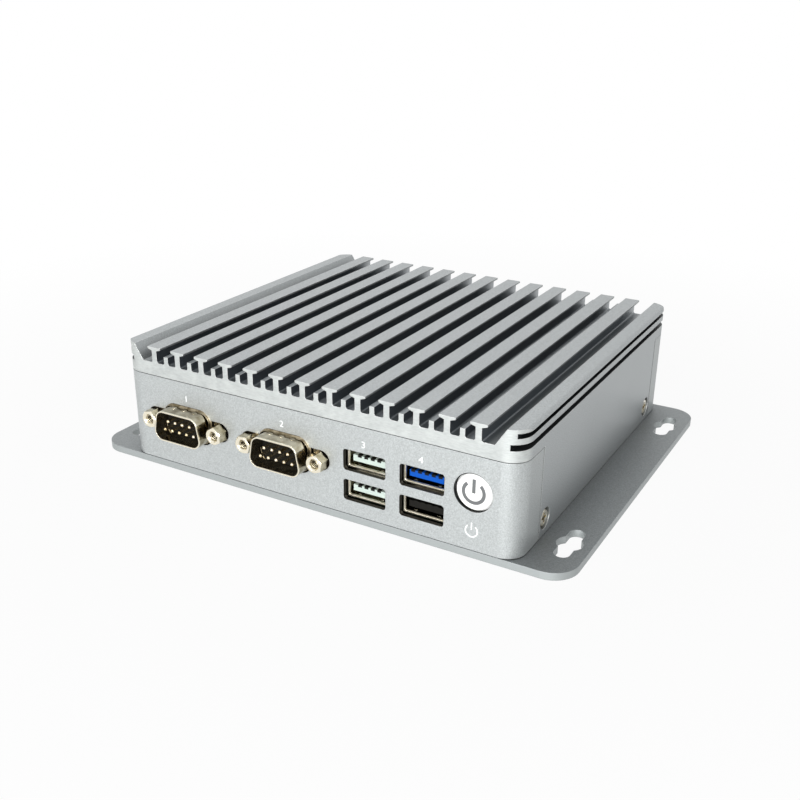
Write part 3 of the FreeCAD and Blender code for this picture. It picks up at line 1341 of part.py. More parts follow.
def power_button():
    """A round button that slides in a holder behind the panel and presses a switch."""
    x = "dim.button_x"
    z = BUTTON_Z
    cap_front = f"(-{HALF_Y} + dim.button_setback)"
    flange_front = f"({PANEL_REAR} + dim.button_rest_gap)"
    flange_back = f"({flange_front} + dim.button_flange_thickness)"
    holder_back = f"({PANEL_REAR} + dim.holder_depth)"
    switch_front = f"({holder_back} - dim.switch_depth)"
    plunger_front = f"({switch_front} - dim.plunger_exposed)"

    rim = cone("button_rim", "dim.button_diameter - 2 * dim.button_edge", "dim.button_diameter",
               "dim.button_edge", (x, cap_front, z), "y")
    cap = cylinder("button_cap", "dim.button_diameter", f"{flange_front} - {cap_front} - dim.button_edge",
                   (x, f"{cap_front} + dim.button_edge", z), "y")
    flange = cylinder("button_flange", "dim.button_flange_width", "dim.button_flange_thickness",
                      (x, flange_front, z), "y")
    stem = cylinder("button_stem", "dim.button_stem_diameter", f"{plunger_front} - {flange_back}",
                    (x, flange_back, z), "y")
    keep(fuse("power_button", [rim, cap, flange, stem]), "power_button")

    keep(cylinder("switch_plunger", "dim.plunger_diameter", "dim.plunger_length",
                  (x, plunger_front, z), "y"), "switch_plunger")

    half = "dim.holder_width / 2"
    block = centred_box("holder_block", x, "dim.holder_width", PANEL_REAR, holder_back,
                        f"{z} - {half}", f"{z} + {half}")
    bore = cylinder("holder_bore", "dim.holder_bore", "dim.holder_depth + 2",
                    (x, f"{PANEL_REAR} - 1", z), "y")
    keep(cut("button_holder", block, [bore]), "button_holder")

    half_switch = "dim.switch_width / 2"
    case = centred_box("switch_case", x, "dim.switch_width", switch_front, holder_back,
                       f"{z} - {half_switch}", f"{z} + {half_switch}")
    well = cylinder("switch_well", "dim.plunger_diameter + 2 * dim.fit_gap",
                    "dim.plunger_length - dim.plunger_exposed + dim.button_travel + dim.fit_gap",
                    (x, switch_front, z), "y")
    keep(cut("power_switch", case, [well]), "power_switch")
    keep(centred_box("switch_board", x, "dim.holder_width", holder_back,
                     f"{holder_back} + dim.switch_board_thickness", f"{z} - {half}", f"{z} + {half}"),
         "switch_board")


# ---------------------------------------------------------------- rear sockets

def network_socket(side):
    """A modular network socket: metal can, moulded insert with a latch slot, eight springs."""
    x = f"dim.network_{side}_x"
    mouth = f"({HALF_Y} + dim.port_margin)"
    back = f"({mouth} - dim.network_depth)"
    top = f"({BOARD_TOP} + dim.network_height)"
    can = centred_box(f"network_can_{side}", x, "dim.network_width", back, mouth, BOARD_TOP, top)
    room = centred_box(f"network_room_{side}", x, "dim.network_width - 2 * dim.network_wall",
                       f"{back} + dim.network_wall", f"{mouth} + 1", f"{BOARD_TOP} + dim.network_wall",
                       f"{top} - dim.network_wall")
    keep(cut(f"network_shell_{side}", can, [room]), f"network_shell_{side}")

    gap = "(dim.network_wall + dim.thread_gap)"
    insert = centred_box(f"network_block_{side}", x, f"dim.network_width - 2 * {gap}",
                         f"{back} + {gap}", mouth, f"{BOARD_TOP} + {gap}", f"{top} - {gap}")
    floor = f"({BOARD_TOP} + dim.network_opening_sill + dim.network_latch_rise)"
    ceiling = f"({floor} + dim.network_opening_height)"
    pocket_back = f"({mouth} - dim.network_pocket_depth)"
    opening = centred_box(f"network_mouth_{side}", x, "dim.network_opening_width", pocket_back,
                          f"{mouth} + 1", floor, ceiling)
    latch = centred_box(f"network_latch_{side}", x, "dim.network_latch_width", pocket_back,
                        f"{mouth} + 1", f"{floor} - dim.network_latch_rise", f"{floor} + 1")
    keep(cut(f"network_insert_{side}", insert, [opening, latch]), f"network_insert_{side}")

    springs = []
    for number in range(8):
        spring_x = f"({x} + {number - 3.5} * dim.network_contact_pitch)"
        springs.append(centred_box(f"network_spring_{side}_{number}", spring_x, "dim.network_contact_width",
                                   pocket_back, f"{mouth} - dim.network_contact_setback",
                                   f"{ceiling} - dim.network_contact_drop - dim.network_contact_thickness",
                                   f"{ceiling} - dim.network_contact_drop"))
    keep(group(f"network_contacts_{side}", springs), f"network_contacts_{side}")


def power_jack():
    x = "dim.power_jack_x"
    z = f"({BOARD_TOP} + dim.power_jack_rise)"
    back = f"({REAR_PANEL_INNER} - dim.power_jack_depth)"
    block = centred_box("power_jack_block", x, "dim.power_jack_width", back, REAR_PANEL_INNER, BOARD_TOP,
                        f"{BOARD_TOP} + dim.power_jack_height")
    nose = cylinder("power_jack_nose", "dim.power_jack_bore + 2 * dim.port_margin",
                    "dim.panel_thickness + 1", (x, f"{REAR_PANEL_INNER} - 1", z), "y")
    bore = cylinder("power_jack_bore_tool", "dim.power_jack_bore", "dim.power_jack_bore_depth + 1",
                    (x, f"{HALF_Y} + 1", z), "-y")
    keep(cut("power_jack", fuse("power_jack_solid", [block, nose]), [bore]), "power_jack")
    floor = f"({HALF_Y} - dim.power_jack_bore_depth)"
    keep(cylinder("power_jack_pin", "dim.power_jack_pin", "dim.power_jack_bore_depth - 1",
                  (x, floor, z), "y"), "power_jack_pin")


def video_socket():
    body = new_body("video_shell")
    front = sketch_on(body, "video_outline", "XZ_Plane", f"-{HALF_Y}")
    video_corners(front, "0")
    pad(body, "video_can", front, "dim.video_depth")
    room = sketch_on(body, "video_room_outline", "XZ_Plane", f"-{HALF_Y}")
    video_corners(room, "-dim.usb_wall")
    pocket(body, "video_room", room, "dim.video_depth + 1", backward=True)
    keep(body, "video_shell")
    tongue_z = f"({BOARD_TOP} + dim.video_height / 2)"
    back = f"({HALF_Y} - dim.video_depth)"
    rear_end = f"({back} + dim.video_rear_thickness)"
    tongue = centred_box("video_tongue", "dim.video_x", "dim.video_tongue_width", rear_end,
                         f"{HALF_Y} - 1", f"{tongue_z} - dim.video_tongue_thickness / 2",
                         f"{tongue_z} + dim.video_tongue_thickness / 2")
    slim = "(dim.video_width - 2 * dim.usb_wall - 2 * dim.video_slant_run - 2 * dim.thread_gap)"
    gap = "(dim.usb_wall + dim.thread_gap)"
    rear = centred_box("video_rear", "dim.video_x", slim, back, rear_end, f"{BOARD_TOP} + {gap}",
                       f"{BOARD_TOP} + dim.video_height - {gap}")
    keep(fuse("video_insert", [tongue, rear]), "video_insert")


def monitor_socket():
    """A fifteen-hole monitor socket with its flange behind the rear panel."""
    x = "dim.monitor_x"
    flange_back = f"({REAR_FLANGE_Y} - dim.serial_flange_thickness)"
    body = new_body("monitor_shell")
    tube = sketch_on(body, "monitor_tube_outline", "XZ_Plane", f"-{flange_back}")
    d_outline(tube, x, MONITOR_Z, "dim.monitor_shell_width", "dim.monitor_shell_height", "dim.serial_corner")
    pad(body, "monitor_tube", tube, "dim.serial_protrusion + dim.serial_flange_thickness", backward=True)
    plate = sketch_on(body, "monitor_flange_outline", "XZ_Plane", f"-{flange_back}")
    rectangle(plate, f"{x} - dim.monitor_flange_width / 2", f"{MONITOR_Z} - dim.serial_flange_height / 2",
              f"{x} + dim.monitor_flange_width / 2", f"{MONITOR_Z} + dim.serial_flange_height / 2",
              "dim.serial_flange_corner")
    pad(body, "monitor_flange", plate, "dim.serial_flange_thickness", backward=True)
    bend_edges(body, "monitor", (value(x), value(REAR_FLANGE_Y), value(MONITOR_Z)),
               value("dim.monitor_shell_width / 2"), value("dim.monitor_shell_height / 2"))
    shrink = "2 * dim.serial_shell_wall"
    inner = sketch_on(body, "monitor_inner_outline", "XZ_Plane", f"-{flange_back}")
    d_outline(inner, x, MONITOR_Z, f"dim.monitor_shell_width - {shrink}",
              f"dim.monitor_shell_height - {shrink}", "dim.serial_corner - dim.serial_shell_wall")
    pocket(body, "monitor_bore", inner, "dim.serial_protrusion + dim.serial_flange_thickness + 1")
    holes = sketch_on(body, "monitor_stud_holes", "XZ_Plane", f"-{flange_back}")
    for sign in ("-", "+"):
        circle(holes, f"{x} {sign} dim.monitor_screw_span / 2", MONITOR_Z,
               "dim.jackscrew_stud + 2 * dim.through_gap")
    pocket(body, "monitor_stud_cuts", holes, "dim.serial_flange_thickness + 1")
    keep(body, "monitor_shell")

    body = new_body("monitor_insulator")
    nose = sketch_on(body, "monitor_nose_outline", "XZ_Plane", f"-{flange_back}")
    shrink = "2 * (dim.serial_shell_wall + dim.thread_gap)"
    d_outline(nose, x, MONITOR_Z, f"dim.monitor_shell_width - {shrink}",
              f"dim.monitor_shell_height - {shrink}", "dim.serial_corner - dim.serial_shell_wall")
    pad(body, "monitor_nose", nose, "dim.serial_protrusion + dim.serial_flange_thickness - dim.fit_gap",
        backward=True)
    block = sketch_on(body, "monitor_block_outline", "XZ_Plane", f"-{flange_back}")
    rectangle(block, f"{x} - dim.monitor_flange_width / 2 + dim.fit_gap", BOARD_TOP,
              f"{x} + dim.monitor_flange_width / 2 - dim.fit_gap",
              f"{MONITOR_Z} + dim.serial_flange_height / 2 - dim.fit_gap")
    pad(body, "monitor_block", block, "dim.serial_body_depth")
    studs = sketch_on(body, "monitor_insulator_studs", "XZ_Plane", f"-{flange_back}")
    for sign in ("-", "+"):
        circle(studs, f"{x} {sign} dim.monitor_screw_span / 2", MONITOR_Z,
               "dim.jackscrew_stud + 2 * dim.thread_gap")
    pocket(body, "monitor_stud_bores", studs, "dim.serial_body_depth", backward=True)
    face = f"({REAR_FLANGE_Y} + dim.serial_protrusion - dim.fit_gap)"
    holes = sketch_on(body, "monitor_pin_holes", "XZ_Plane", f"-{face}")
    for row, shift in ((1, -0.5), (0, 0), (-1, -0.5)):
        for column in range(5):
            circle(holes, f"{x} + {column - 2 + shift + 0.25} * dim.monitor_pin_pitch",
                   f"{MONITOR_Z} + {row} * dim.monitor_row_pitch", "dim.monitor_hole")
    pocket(body, "monitor_pin_bores", holes, "dim.serial_protrusion", backward=True)
    keep(body, "monitor_insulator")


def audio_socket():
    x = "dim.audio_x"
    z = f"({BOARD_TOP} + dim.audio_rise)"
    back = f"({REAR_PANEL_INNER} - dim.audio_depth)"
    block = centred_box("audio_block", x, "dim.audio_width", back, REAR_PANEL_INNER, BOARD_TOP,
                        f"{BOARD_TOP} + dim.audio_height")
    nose = cylinder("audio_nose_blank", "dim.audio_nose", "dim.panel_thickness + 1",
                    (x, f"{REAR_PANEL_INNER} - 1", z), "y")
    bore = cylinder("audio_bore_tool", "dim.audio_bore", "dim.audio_depth", (x, f"{HALF_Y} + 1", z), "-y")
    keep(cut("audio_jack", fuse("audio_solid", [block, nose]), [bore]), "audio_jack")


def antenna_caps():
    """Plugs in the two unused antenna holes."""
    caps = []
    for side, sign in (("left", "-"), ("right", "")):
        x = f"{sign}dim.antenna_x"
        stem = cylinder(f"antenna_stem_{side}", "dim.antenna_hole - 2 * dim.thread_gap",
                        "dim.panel_thickness + 1.5", (x, f"{REAR_PANEL_INNER} - 1", ANTENNA_Z), "y")
        head = cylinder(f"antenna_head_{side}", "dim.antenna_cap_width", "dim.antenna_cap_thickness",
                        (x, HALF_Y, ANTENNA_Z), "y")
        caps.append(fuse(f"antenna_cap_{side}", [stem, head]))
    keep(group("antenna_caps", caps), "antenna_caps")


# ---------------------------------------------------------------- build, test and write

def check_document():
    for feature in doc.Objects:
        if "Invalid" in feature.State or "Error" in feature.State:
            raise RuntimeError(f"{feature.Name} failed: {feature.State}")
    for feature in nodes:
        shape = feature.Shape
        if shape.isNull() or not shape.isValid() or shape.Volume <= 0:
            raise RuntimeError(f"{feature.Label} has no valid solid")


def write_parts():
    os.makedirs("parts", exist_ok=True)
    for feature in nodes:
        feature.Shape.exportStep(f"parts/{feature.Label}.step")


fill_sheet()
heatsink_cover()
front_panel()
rear_panel()
base_plate()
side_screws()
base_screws()
main_board()
heat_path()
memory()
storage()
coin_cell()
power_parts()
for place in serial_places():
    serial_plug(*place)
jackscrews()
for place in usb_places():
    usb_stack(*place)
power_button()
for which in ("left", "right"):
    network_socket(which)
power_jack()
video_socket()
monitor_socket()
audio_socket()
antenna_caps()
doc.recompute()
check_document()
write_parts()
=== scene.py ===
"""Looks of a fanless industrial computer: finishes, printing, threads, springs, light and camera.

Everything is in metres in the model's own frame: X right along the front, Y back, Z up.
"""
import json
import math

import bpy
import numpy as np
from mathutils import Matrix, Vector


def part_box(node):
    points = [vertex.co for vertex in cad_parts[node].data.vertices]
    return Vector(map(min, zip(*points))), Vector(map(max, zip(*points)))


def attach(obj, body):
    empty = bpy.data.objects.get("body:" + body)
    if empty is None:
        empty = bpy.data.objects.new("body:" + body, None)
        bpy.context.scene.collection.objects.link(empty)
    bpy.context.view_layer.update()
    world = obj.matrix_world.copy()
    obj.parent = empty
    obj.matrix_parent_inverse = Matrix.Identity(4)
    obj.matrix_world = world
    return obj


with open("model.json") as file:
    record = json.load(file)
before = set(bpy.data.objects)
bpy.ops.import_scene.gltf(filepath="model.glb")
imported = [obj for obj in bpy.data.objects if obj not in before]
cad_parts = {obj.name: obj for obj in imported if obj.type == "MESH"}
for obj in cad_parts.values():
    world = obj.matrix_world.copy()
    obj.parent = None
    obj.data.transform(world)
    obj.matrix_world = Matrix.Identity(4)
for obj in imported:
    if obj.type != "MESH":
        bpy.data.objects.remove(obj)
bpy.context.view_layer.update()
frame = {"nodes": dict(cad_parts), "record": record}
nodes = frame["nodes"]
MM = 0.001


# ---------------------------------------------------------------- places taken from the solids and the record

mounts = frame["record"]["mounts"]
port = {mount["name"]: mount["pos_m"] for mount in mounts}
serial_level = port["serial_left_port"][2]
usb_level = {row: port[f"usb_left_{row}_port"][2] for row in ("lower", "upper")}

cover_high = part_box("heatsink_cover")[1]
panel_low, panel_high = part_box("front_panel")
panel_face = -panel_low.y
button_low, button_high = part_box("power_button")
button_x = (button_low.x + button_high.x) / 2
button_z = (button_low.z + button_high.z) / 2

# The cover's section, measured up from the plate's underside and out from the middle.
CORNER_RADIUS = 6.0 * MM
CORNER_X = cover_high.x - CORNER_RADIUS     # centre of the rounded corner
CORNER_Y = cover_high.y - CORNER_RADIUS
CAP_EDGE = 39.0 * MM                        # foot of the fins' caps
RIB_TOP = 37.2 * MM                         # top of the low ribs between the fins
CHANNEL_FLOOR = 34.7 * MM
CHANNEL_REACH = 57.5 * MM                   # how far out the channels go, up to the sloped shoulders
GROOVE_TOP = 38.62 * MM                     # the two grooves that run along each side
GROOVE_FOOT = 33.68 * MM
GROOVE_BED = 62.8 * MM
FRONT_SEAM = 48 * MM                        # joint between the front panel and the cover, from the middle
REAR_SEAM = 50 * MM                         # and the one at the rear panel
SEAM_WIDTH = 0.2 * MM                       # the gap that a joint shows

LIT_FROM, LIT_BY = 48 * MM, 62 * MM         # painted light: the channels' walls are painted paler towards their rear ends
SHADOW_RADIUS = 5.64 * MM                   # dark ring on the panel round the button's cap
SHADOW_SHIFT = (-0.14 * MM, 0.12 * MM)      # it lies a little to the left of the button and above it

# Front faces of the nine-pin shells, the jackscrews and the USB shells, out from the middle.
SHELL_TIP = -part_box("serial_shell_left")[0].y
SCREW_FACE = -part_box("jackscrews")[0].y
USB_FACE = -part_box("usb_shell_left")[0].y
usb_middle = {side: sum(corner.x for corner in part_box(f"usb_shell_{side}")) / 2
              for side in ("left", "right")}


# ---------------------------------------------------------------- nodes and colours

def tint(code):
    """sRGB hex colour turned to linear red, green, blue and alpha."""
    shares = np.array([int(code[start:start + 2], 16) for start in (1, 3, 5)]) / 255
    linear = np.where(shares <= 0.04045, shares / 12.92, ((shares + 0.055) / 1.055) ** 2.4)
    return (*linear.tolist(), 1.0)


def add(tree, kind, inputs=None, **settings):
    """A node with its settings; each input is a value or another node's output."""
    made = tree.nodes.new(kind)
    for key, setting in settings.items():
        setattr(made, key, setting)
    for key, source in (inputs or {}).items():
        if isinstance(source, bpy.types.NodeSocket):
            tree.links.new(source, made.inputs[key])
        else:
            made.inputs[key].default_value = source
    return made


def blank(name):
    """A new material with its node tree, its shader and the place of each point on the piece."""
    material = bpy.data.materials.new(name)
    material.use_nodes = True
    tree = material.node_tree
    place = add(tree, "ShaderNodeTexCoord").outputs["Object"]
    return material, tree, tree.nodes["Principled BSDF"], place


def mask(tree, *limits, within=None):
    """1 where every measure has passed from its start to its end, 0 before, straight between.

    Each limit is a measure with its start and its end. The mask can be kept within another one.
    """
    share = within
    for measure, start, end in limits:
        step = add(tree, "ShaderNodeMapRange", {"Value": measure, "From Min": start,
                                                "From Max": end}).outputs["Result"]
        share = step if share is None else add(tree, "ShaderNodeMath", {0: share, 1: step},
                                               operation="MULTIPLY").outputs["Value"]
    return share


def either(tree, first, *others):
    """1 where any of several masks is."""
    for other in others:
        first = add(tree, "ShaderNodeMath", {0: first, 1: other}, operation="MAXIMUM").outputs["Value"]
    return first


def painted(tree, colour, *coats):
    """A colour with others laid over it in turn, each one where its mask is 1."""
    for share, coat in coats:
        colour = add(tree, "ShaderNodeMix", {"Factor": share, "A": colour, "B": coat},
                     data_type="RGBA").outputs["Result"]
    return colour


def from_middle(tree, place):
    """The place's x, y and z, and how far it is from the middle in x and in y."""
    axis = add(tree, "ShaderNodeSeparateXYZ", {"Vector": place}).outputs
    out_x, out_y = (add(tree, "ShaderNodeMath", {0: axis[name]}, operation="ABSOLUTE").outputs["Value"]
                    for name in ("X", "Y"))
    return axis, out_x, out_y


def upward(tree):
    """How much a face looks up: 1 for a level top, 0 for a wall, -1 for an underside."""
    normal = add(tree, "ShaderNodeNewGeometry").outputs["Normal"]
    return add(tree, "ShaderNodeSeparateXYZ", {"Vector": normal}).outputs["Z"]


def edge_mask(tree, radius):
    """The normal rounded at edges, and a mask that is 1 on the edges.

    The mask rises as the cosine between the rounded and the flat normal falls from 0.995 to 0.82.
    """
    rounded = add(tree, "ShaderNodeBevel", {"Radius": radius}, samples=4).outputs["Normal"]
    flat = add(tree, "ShaderNodeNewGeometry").outputs["Normal"]
    match = add(tree, "ShaderNodeVectorMath", {0: rounded, 1: flat},
                operation="DOT_PRODUCT").outputs["Value"]
    return rounded, mask(tree, (match, 0.995, 0.82))


# ---------------------------------------------------------------- finishes

BLAST_GRIT = 0.34 * MM      # bead-blast dimples, drawn larger than real ones so that they show
MILL_PITCH = 0.25 * MM      # feed marks of the end mill on the cut ends
SPARK_GRAIN = 0.25 * MM     # grain of a spark-eroded mould, drawn coarser so that it shows
HAZE = 0.5 * MM             # fine unevenness of a plated surface, drawn coarser so that it shows


def blasted_aluminium(name, body, edge_highlight, dull, zones=None, shade_depth=0.0):
    """Bead-blasted clear anodised aluminium: a soft satin metal with a fine grain, with painted shade in its
    nooks and a painted highlight along its edges.
    """
    material, tree, surface, place = blank(name)
    grain = add(tree, "ShaderNodeTexNoise", {"Vector": place, "Scale": 1 / BLAST_GRIT, "Detail": 3.0,
                                             "Roughness": 0.6}).outputs["Fac"]
    cloud = add(tree, "ShaderNodeTexNoise", {"Vector": place, "Scale": 1 / (18 * MM), "Detail": 2.0})
    # Painted shade: ambient occlusion finds the nooks, which are painted darker by up to the given share.
    nook = add(tree, "ShaderNodeAmbientOcclusion", {"Distance": 16 * MM}, samples=6).outputs["AO"]
    shade = add(tree, "ShaderNodeMapRange", {"Value": grain, "From Min": 0.3, "From Max": 0.7,
                                             "To Min": 0.80, "To Max": 1.20})
    tone = add(tree, "ShaderNodeMapRange", {"Value": cloud.outputs["Fac"], "To Min": 0.97, "To Max": 1.03})
    nook_shade = add(tree, "ShaderNodeMapRange", {"Value": nook, "From Min": 0.35, "From Max": 0.85,
                                               "To Min": 1 - shade_depth, "To Max": 1.0})
    for other in (tone, nook_shade):
        shade = add(tree, "ShaderNodeMath", {0: shade.outputs[0], 1: other.outputs["Result"]},
                    operation="MULTIPLY")
    colour = add(tree, "ShaderNodeVectorMath", {0: tint(body)[:3], "Scale": shade.outputs["Value"]},
                 operation="SCALE").outputs["Vector"]
    # Painted highlight: the rounded edges are painted paler, as though they caught the light.
    rounded, edge = edge_mask(tree, 0.22 * MM)
    colour = painted(tree, colour, (edge, tint(edge_highlight)))
    if zones:
        colour = zones(tree, place, colour, edge)
    rough = add(tree, "ShaderNodeMapRange", {"Value": grain, "To Min": dull - 0.06, "To Max": dull + 0.06})
    bump = add(tree, "ShaderNodeBump", {"Height": grain, "Normal": rounded, "Strength": 0.18,
                                        "Distance": 0.05 * MM})
    tree.links.new(colour, surface.inputs["Base Color"])
    tree.links.new(rough.outputs["Result"], surface.inputs["Roughness"])
    tree.links.new(bump.outputs["Normal"], surface.inputs["Normal"])
    surface.inputs["Metallic"].default_value = 0.75
    return material


# The next three are zones for blasted aluminium. They take the same four things, needed or not, and
# each gives back the colour with some parts of the piece painted over.

def cut_ends(tree, place, colour, edge):
    """The extrusion's milled ends are paler, and its deep channels and side grooves get painted shade."""
    axis, out_x, out_y = from_middle(tree, place)
    height = axis["Z"]
    past_x = add(tree, "ShaderNodeMath", {0: out_x, 1: CORNER_X}, operation="SUBTRACT",
                 use_clamp=True).outputs["Value"]
    past_y = add(tree, "ShaderNodeMath", {0: out_y, 1: CORNER_Y}, operation="SUBTRACT",
                 use_clamp=True).outputs["Value"]
    apart = add(tree, "ShaderNodeCombineXYZ", {"X": past_x, "Y": past_y}).outputs["Vector"]
    reach = add(tree, "ShaderNodeVectorMath", {0: apart}, operation="LENGTH").outputs["Value"]

    # Milled ends, up to where the corner has turned to the side: fine upright feed marks and a cloudy tone,
    # with a painted highlight on their edges.
    milled = mask(tree, (reach, CORNER_RADIUS - 0.10 * MM, CORNER_RADIUS - 0.04 * MM),
                  (past_y, 0.2 * MM, 2.5 * MM))
    lines = add(tree, "ShaderNodeMapping", {"Vector": place, "Scale": (0.15, 0.15, 1.0)}).outputs["Vector"]
    marks = add(tree, "ShaderNodeTexNoise", {"Vector": lines, "Scale": 1 / MILL_PITCH, "Detail": 2.0})
    cloud = add(tree, "ShaderNodeTexNoise", {"Vector": place, "Scale": 1 / (3 * MM), "Detail": 4.0})
    tone = add(tree, "ShaderNodeMath", {0: marks.outputs["Fac"], 1: cloud.outputs["Fac"]},
               operation="ADD").outputs["Value"]
    marked = painted(tree, tint("#b2b6b5"), (mask(tree, (tone, 0.65, 1.3)), tint("#c8ccca")),
                     (edge, tint("#d6d8d6")))

    # Channels: painted shade, darkest on the walls and below the rib tops, with painted light on the walls
    # towards the rear, and painted highlights on the edges.
    channel = mask(tree, (height, CAP_EDGE, CAP_EDGE - 0.05 * MM),
                   (height, CHANNEL_FLOOR - 0.2 * MM, CHANNEL_FLOOR - 0.1 * MM),
                   (out_x, CHANNEL_REACH, CHANNEL_REACH - 1.0 * MM),
                   (reach, CORNER_RADIUS - 0.01 * MM, CORNER_RADIUS - 0.10 * MM))
    wall = painted(tree, tint("#5d6369"), (mask(tree, (axis["Y"], LIT_FROM, LIT_BY)), tint("#b4b8ba")))
    below_rib = mask(tree, (height, RIB_TOP - 0.1 * MM, RIB_TOP - 0.3 * MM))
    sides = painted(tree, tint("#9a9fa1"), (below_rib, tint("#7b8083")),
                    (mask(tree, (upward(tree), 0.7, 0.3)), wall), (edge, tint("#d6dadb")))

    # Side grooves: painted shade, nearly black, with a painted highlight on the outer lip.
    groove = mask(tree, (height, GROOVE_TOP, GROOVE_TOP - 0.08 * MM),
                  (height, GROOVE_FOOT, GROOVE_FOOT + 0.08 * MM),
                  (out_x, GROOVE_BED, GROOVE_BED + 0.15 * MM),
                  (reach, CORNER_RADIUS - 0.05 * MM, CORNER_RADIUS - 0.25 * MM))
    lip = mask(tree, (out_x, cover_high.x - 0.5 * MM, cover_high.x - 0.2 * MM), within=edge)
    bed = painted(tree, tint("#232528"), (lip, tint("#b9bebf")))
    return painted(tree, colour, (milled, marked), (channel, sides), (groove, bed))


def lit_cut_edges(tree, place, colour, edge):
    """Painted light: the plate's upright cut edges are painted paler than its level faces, as the front light
    falls on them.
    """
    level = add(tree, "ShaderNodeMath", {0: upward(tree)}, operation="ABSOLUTE").outputs["Value"]
    return painted(tree, colour, (mask(tree, (level, 0.7, 0.3)), tint("#a3a8a8")))


def cut_openings(tree, place, colour, edge):
    """The walls of a panel's openings get painted shade, its joints are dark, and a painted shadow rings the
    button.
    """
    axis, out_x, out_y = from_middle(tree, place)
    # Painted shade on the walls of the openings.
    wall = mask(tree, (out_y, panel_face - 0.05 * MM, panel_face - 0.20 * MM),
                (out_x, CORNER_X - 0.4 * MM, CORNER_X - 0.6 * MM))
    front = mask(tree, (axis["Y"], 0.0, -0.1 * MM))
    seam = add(tree, "ShaderNodeMix", {"Factor": front, "A": REAR_SEAM, "B": FRONT_SEAM}).outputs["Result"]
    past_seam = add(tree, "ShaderNodeMath", {0: out_y, 1: seam}, operation="SUBTRACT").outputs["Value"]
    end_line = mask(tree, (past_seam, SEAM_WIDTH + 0.04 * MM, SEAM_WIDTH - 0.04 * MM),
                    (out_x, panel_high.x - 0.6 * MM, panel_high.x - 0.5 * MM))
    foot_line = mask(tree, (axis["Z"], panel_low.z + SEAM_WIDTH + 0.06 * MM,
                            panel_low.z + SEAM_WIDTH - 0.06 * MM))
    off_x = add(tree, "ShaderNodeMath", {0: axis["X"], 1: button_x + SHADOW_SHIFT[0]}, operation="SUBTRACT")
    off_z = add(tree, "ShaderNodeMath", {0: axis["Z"], 1: button_z + SHADOW_SHIFT[1]}, operation="SUBTRACT")
    apart = add(tree, "ShaderNodeCombineXYZ", {"X": off_x.outputs["Value"], "Y": off_z.outputs["Value"]})
    away = add(tree, "ShaderNodeVectorMath", {0: apart.outputs["Vector"]}, operation="LENGTH")
    shadow = mask(tree, (away.outputs["Value"], SHADOW_RADIUS + 0.04 * MM, SHADOW_RADIUS - 0.04 * MM),
                  within=front)
    lines = either(tree, end_line, foot_line, shadow)
    return painted(tree, colour, (wall, tint("#2b2a27")), (lines, tint("#1f2021")))


def plated_metal(name, bright, dark, shadow, dull, streak=6 * MM, front=None, rim=0.35 * MM):
    """Plated metal: a smooth mirror with slow changes of tone, with painted shade where it is hollow.

    Where a piece has a front edge, its last bit, as wide as the rim, gets a painted highlight.
    """
    material, tree, surface, place = blank(name)
    cloud = add(tree, "ShaderNodeTexNoise", {"Vector": place, "Scale": 1 / streak, "Detail": 4.0})
    # Painted shade: ambient occlusion finds the hollows, which are painted in the shadow colour.
    hollow = add(tree, "ShaderNodeAmbientOcclusion", {"Distance": 2.2 * MM}, samples=6).outputs["AO"]
    patches = painted(tree, tint(dark), (mask(tree, (cloud.outputs["Fac"], 0.34, 0.64)), tint(bright)))
    colour = painted(tree, tint(shadow), (mask(tree, (hollow, 0.25, 0.68)), patches))
    # Painted highlight: the front rim is painted a pale cream.
    if front:
        out_y = from_middle(tree, place)[2]
        colour = painted(tree, colour, (mask(tree, (out_y, front - rim - 0.1 * MM, front - rim)),
                                        tint("#f1ead6")))
    haze = add(tree, "ShaderNodeTexNoise", {"Vector": place, "Scale": 1 / HAZE, "Detail": 2.0})
    rough = add(tree, "ShaderNodeMapRange", {"Value": haze.outputs["Fac"], "To Min": dull * 0.8,
                                             "To Max": dull * 1.25})
    rounded = add(tree, "ShaderNodeBevel", {"Radius": 0.12 * MM}, samples=4)
    tree.links.new(colour, surface.inputs["Base Color"])
    tree.links.new(rough.outputs["Result"], surface.inputs["Roughness"])
    tree.links.new(rounded.outputs["Normal"], surface.inputs["Normal"])
    surface.inputs["Metallic"].default_value = 1.0
    return material


def moulded_plastic(name, body, dull, grain_size=SPARK_GRAIN, depth=0.02 * MM, glow=0.0, gloss=0.5):
    """Moulded plastic: an even colour with a fine spark-eroded grain and soft edges."""
    material, tree, surface, place = blank(name)
    grain = add(tree, "ShaderNodeTexNoise", {"Vector": place, "Scale": 1 / grain_size,
                                             "Detail": 2.0}).outputs["Fac"]
    tone = add(tree, "ShaderNodeMapRange", {"Value": grain, "To Min": 0.94, "To Max": 1.06})
    colour = add(tree, "ShaderNodeVectorMath", {0: tint(body)[:3], "Scale": tone.outputs["Result"]},
                 operation="SCALE")
    rough = add(tree, "ShaderNodeMapRange", {"Value": grain, "To Min": dull - 0.05, "To Max": dull + 0.05})
    rounded = add(tree, "ShaderNodeBevel", {"Radius": 0.1 * MM}, samples=4)
    bump = add(tree, "ShaderNodeBump", {"Height": grain, "Normal": rounded.outputs["Normal"],
                                        "Strength": 0.3, "Distance": depth})
    tree.links.new(colour.outputs["Vector"], surface.inputs["Base Color"])
    tree.links.new(rough.outputs["Result"], surface.inputs["Roughness"])
    tree.links.new(bump.outputs["Normal"], surface.inputs["Normal"])
    surface.inputs["Specular IOR Level"].default_value = gloss
    surface.inputs["Subsurface Weight"].default_value = glow
    surface.inputs["Subsurface Radius"].default_value = (0.8 * MM, 0.8 * MM, 0.8 * MM)
    return material


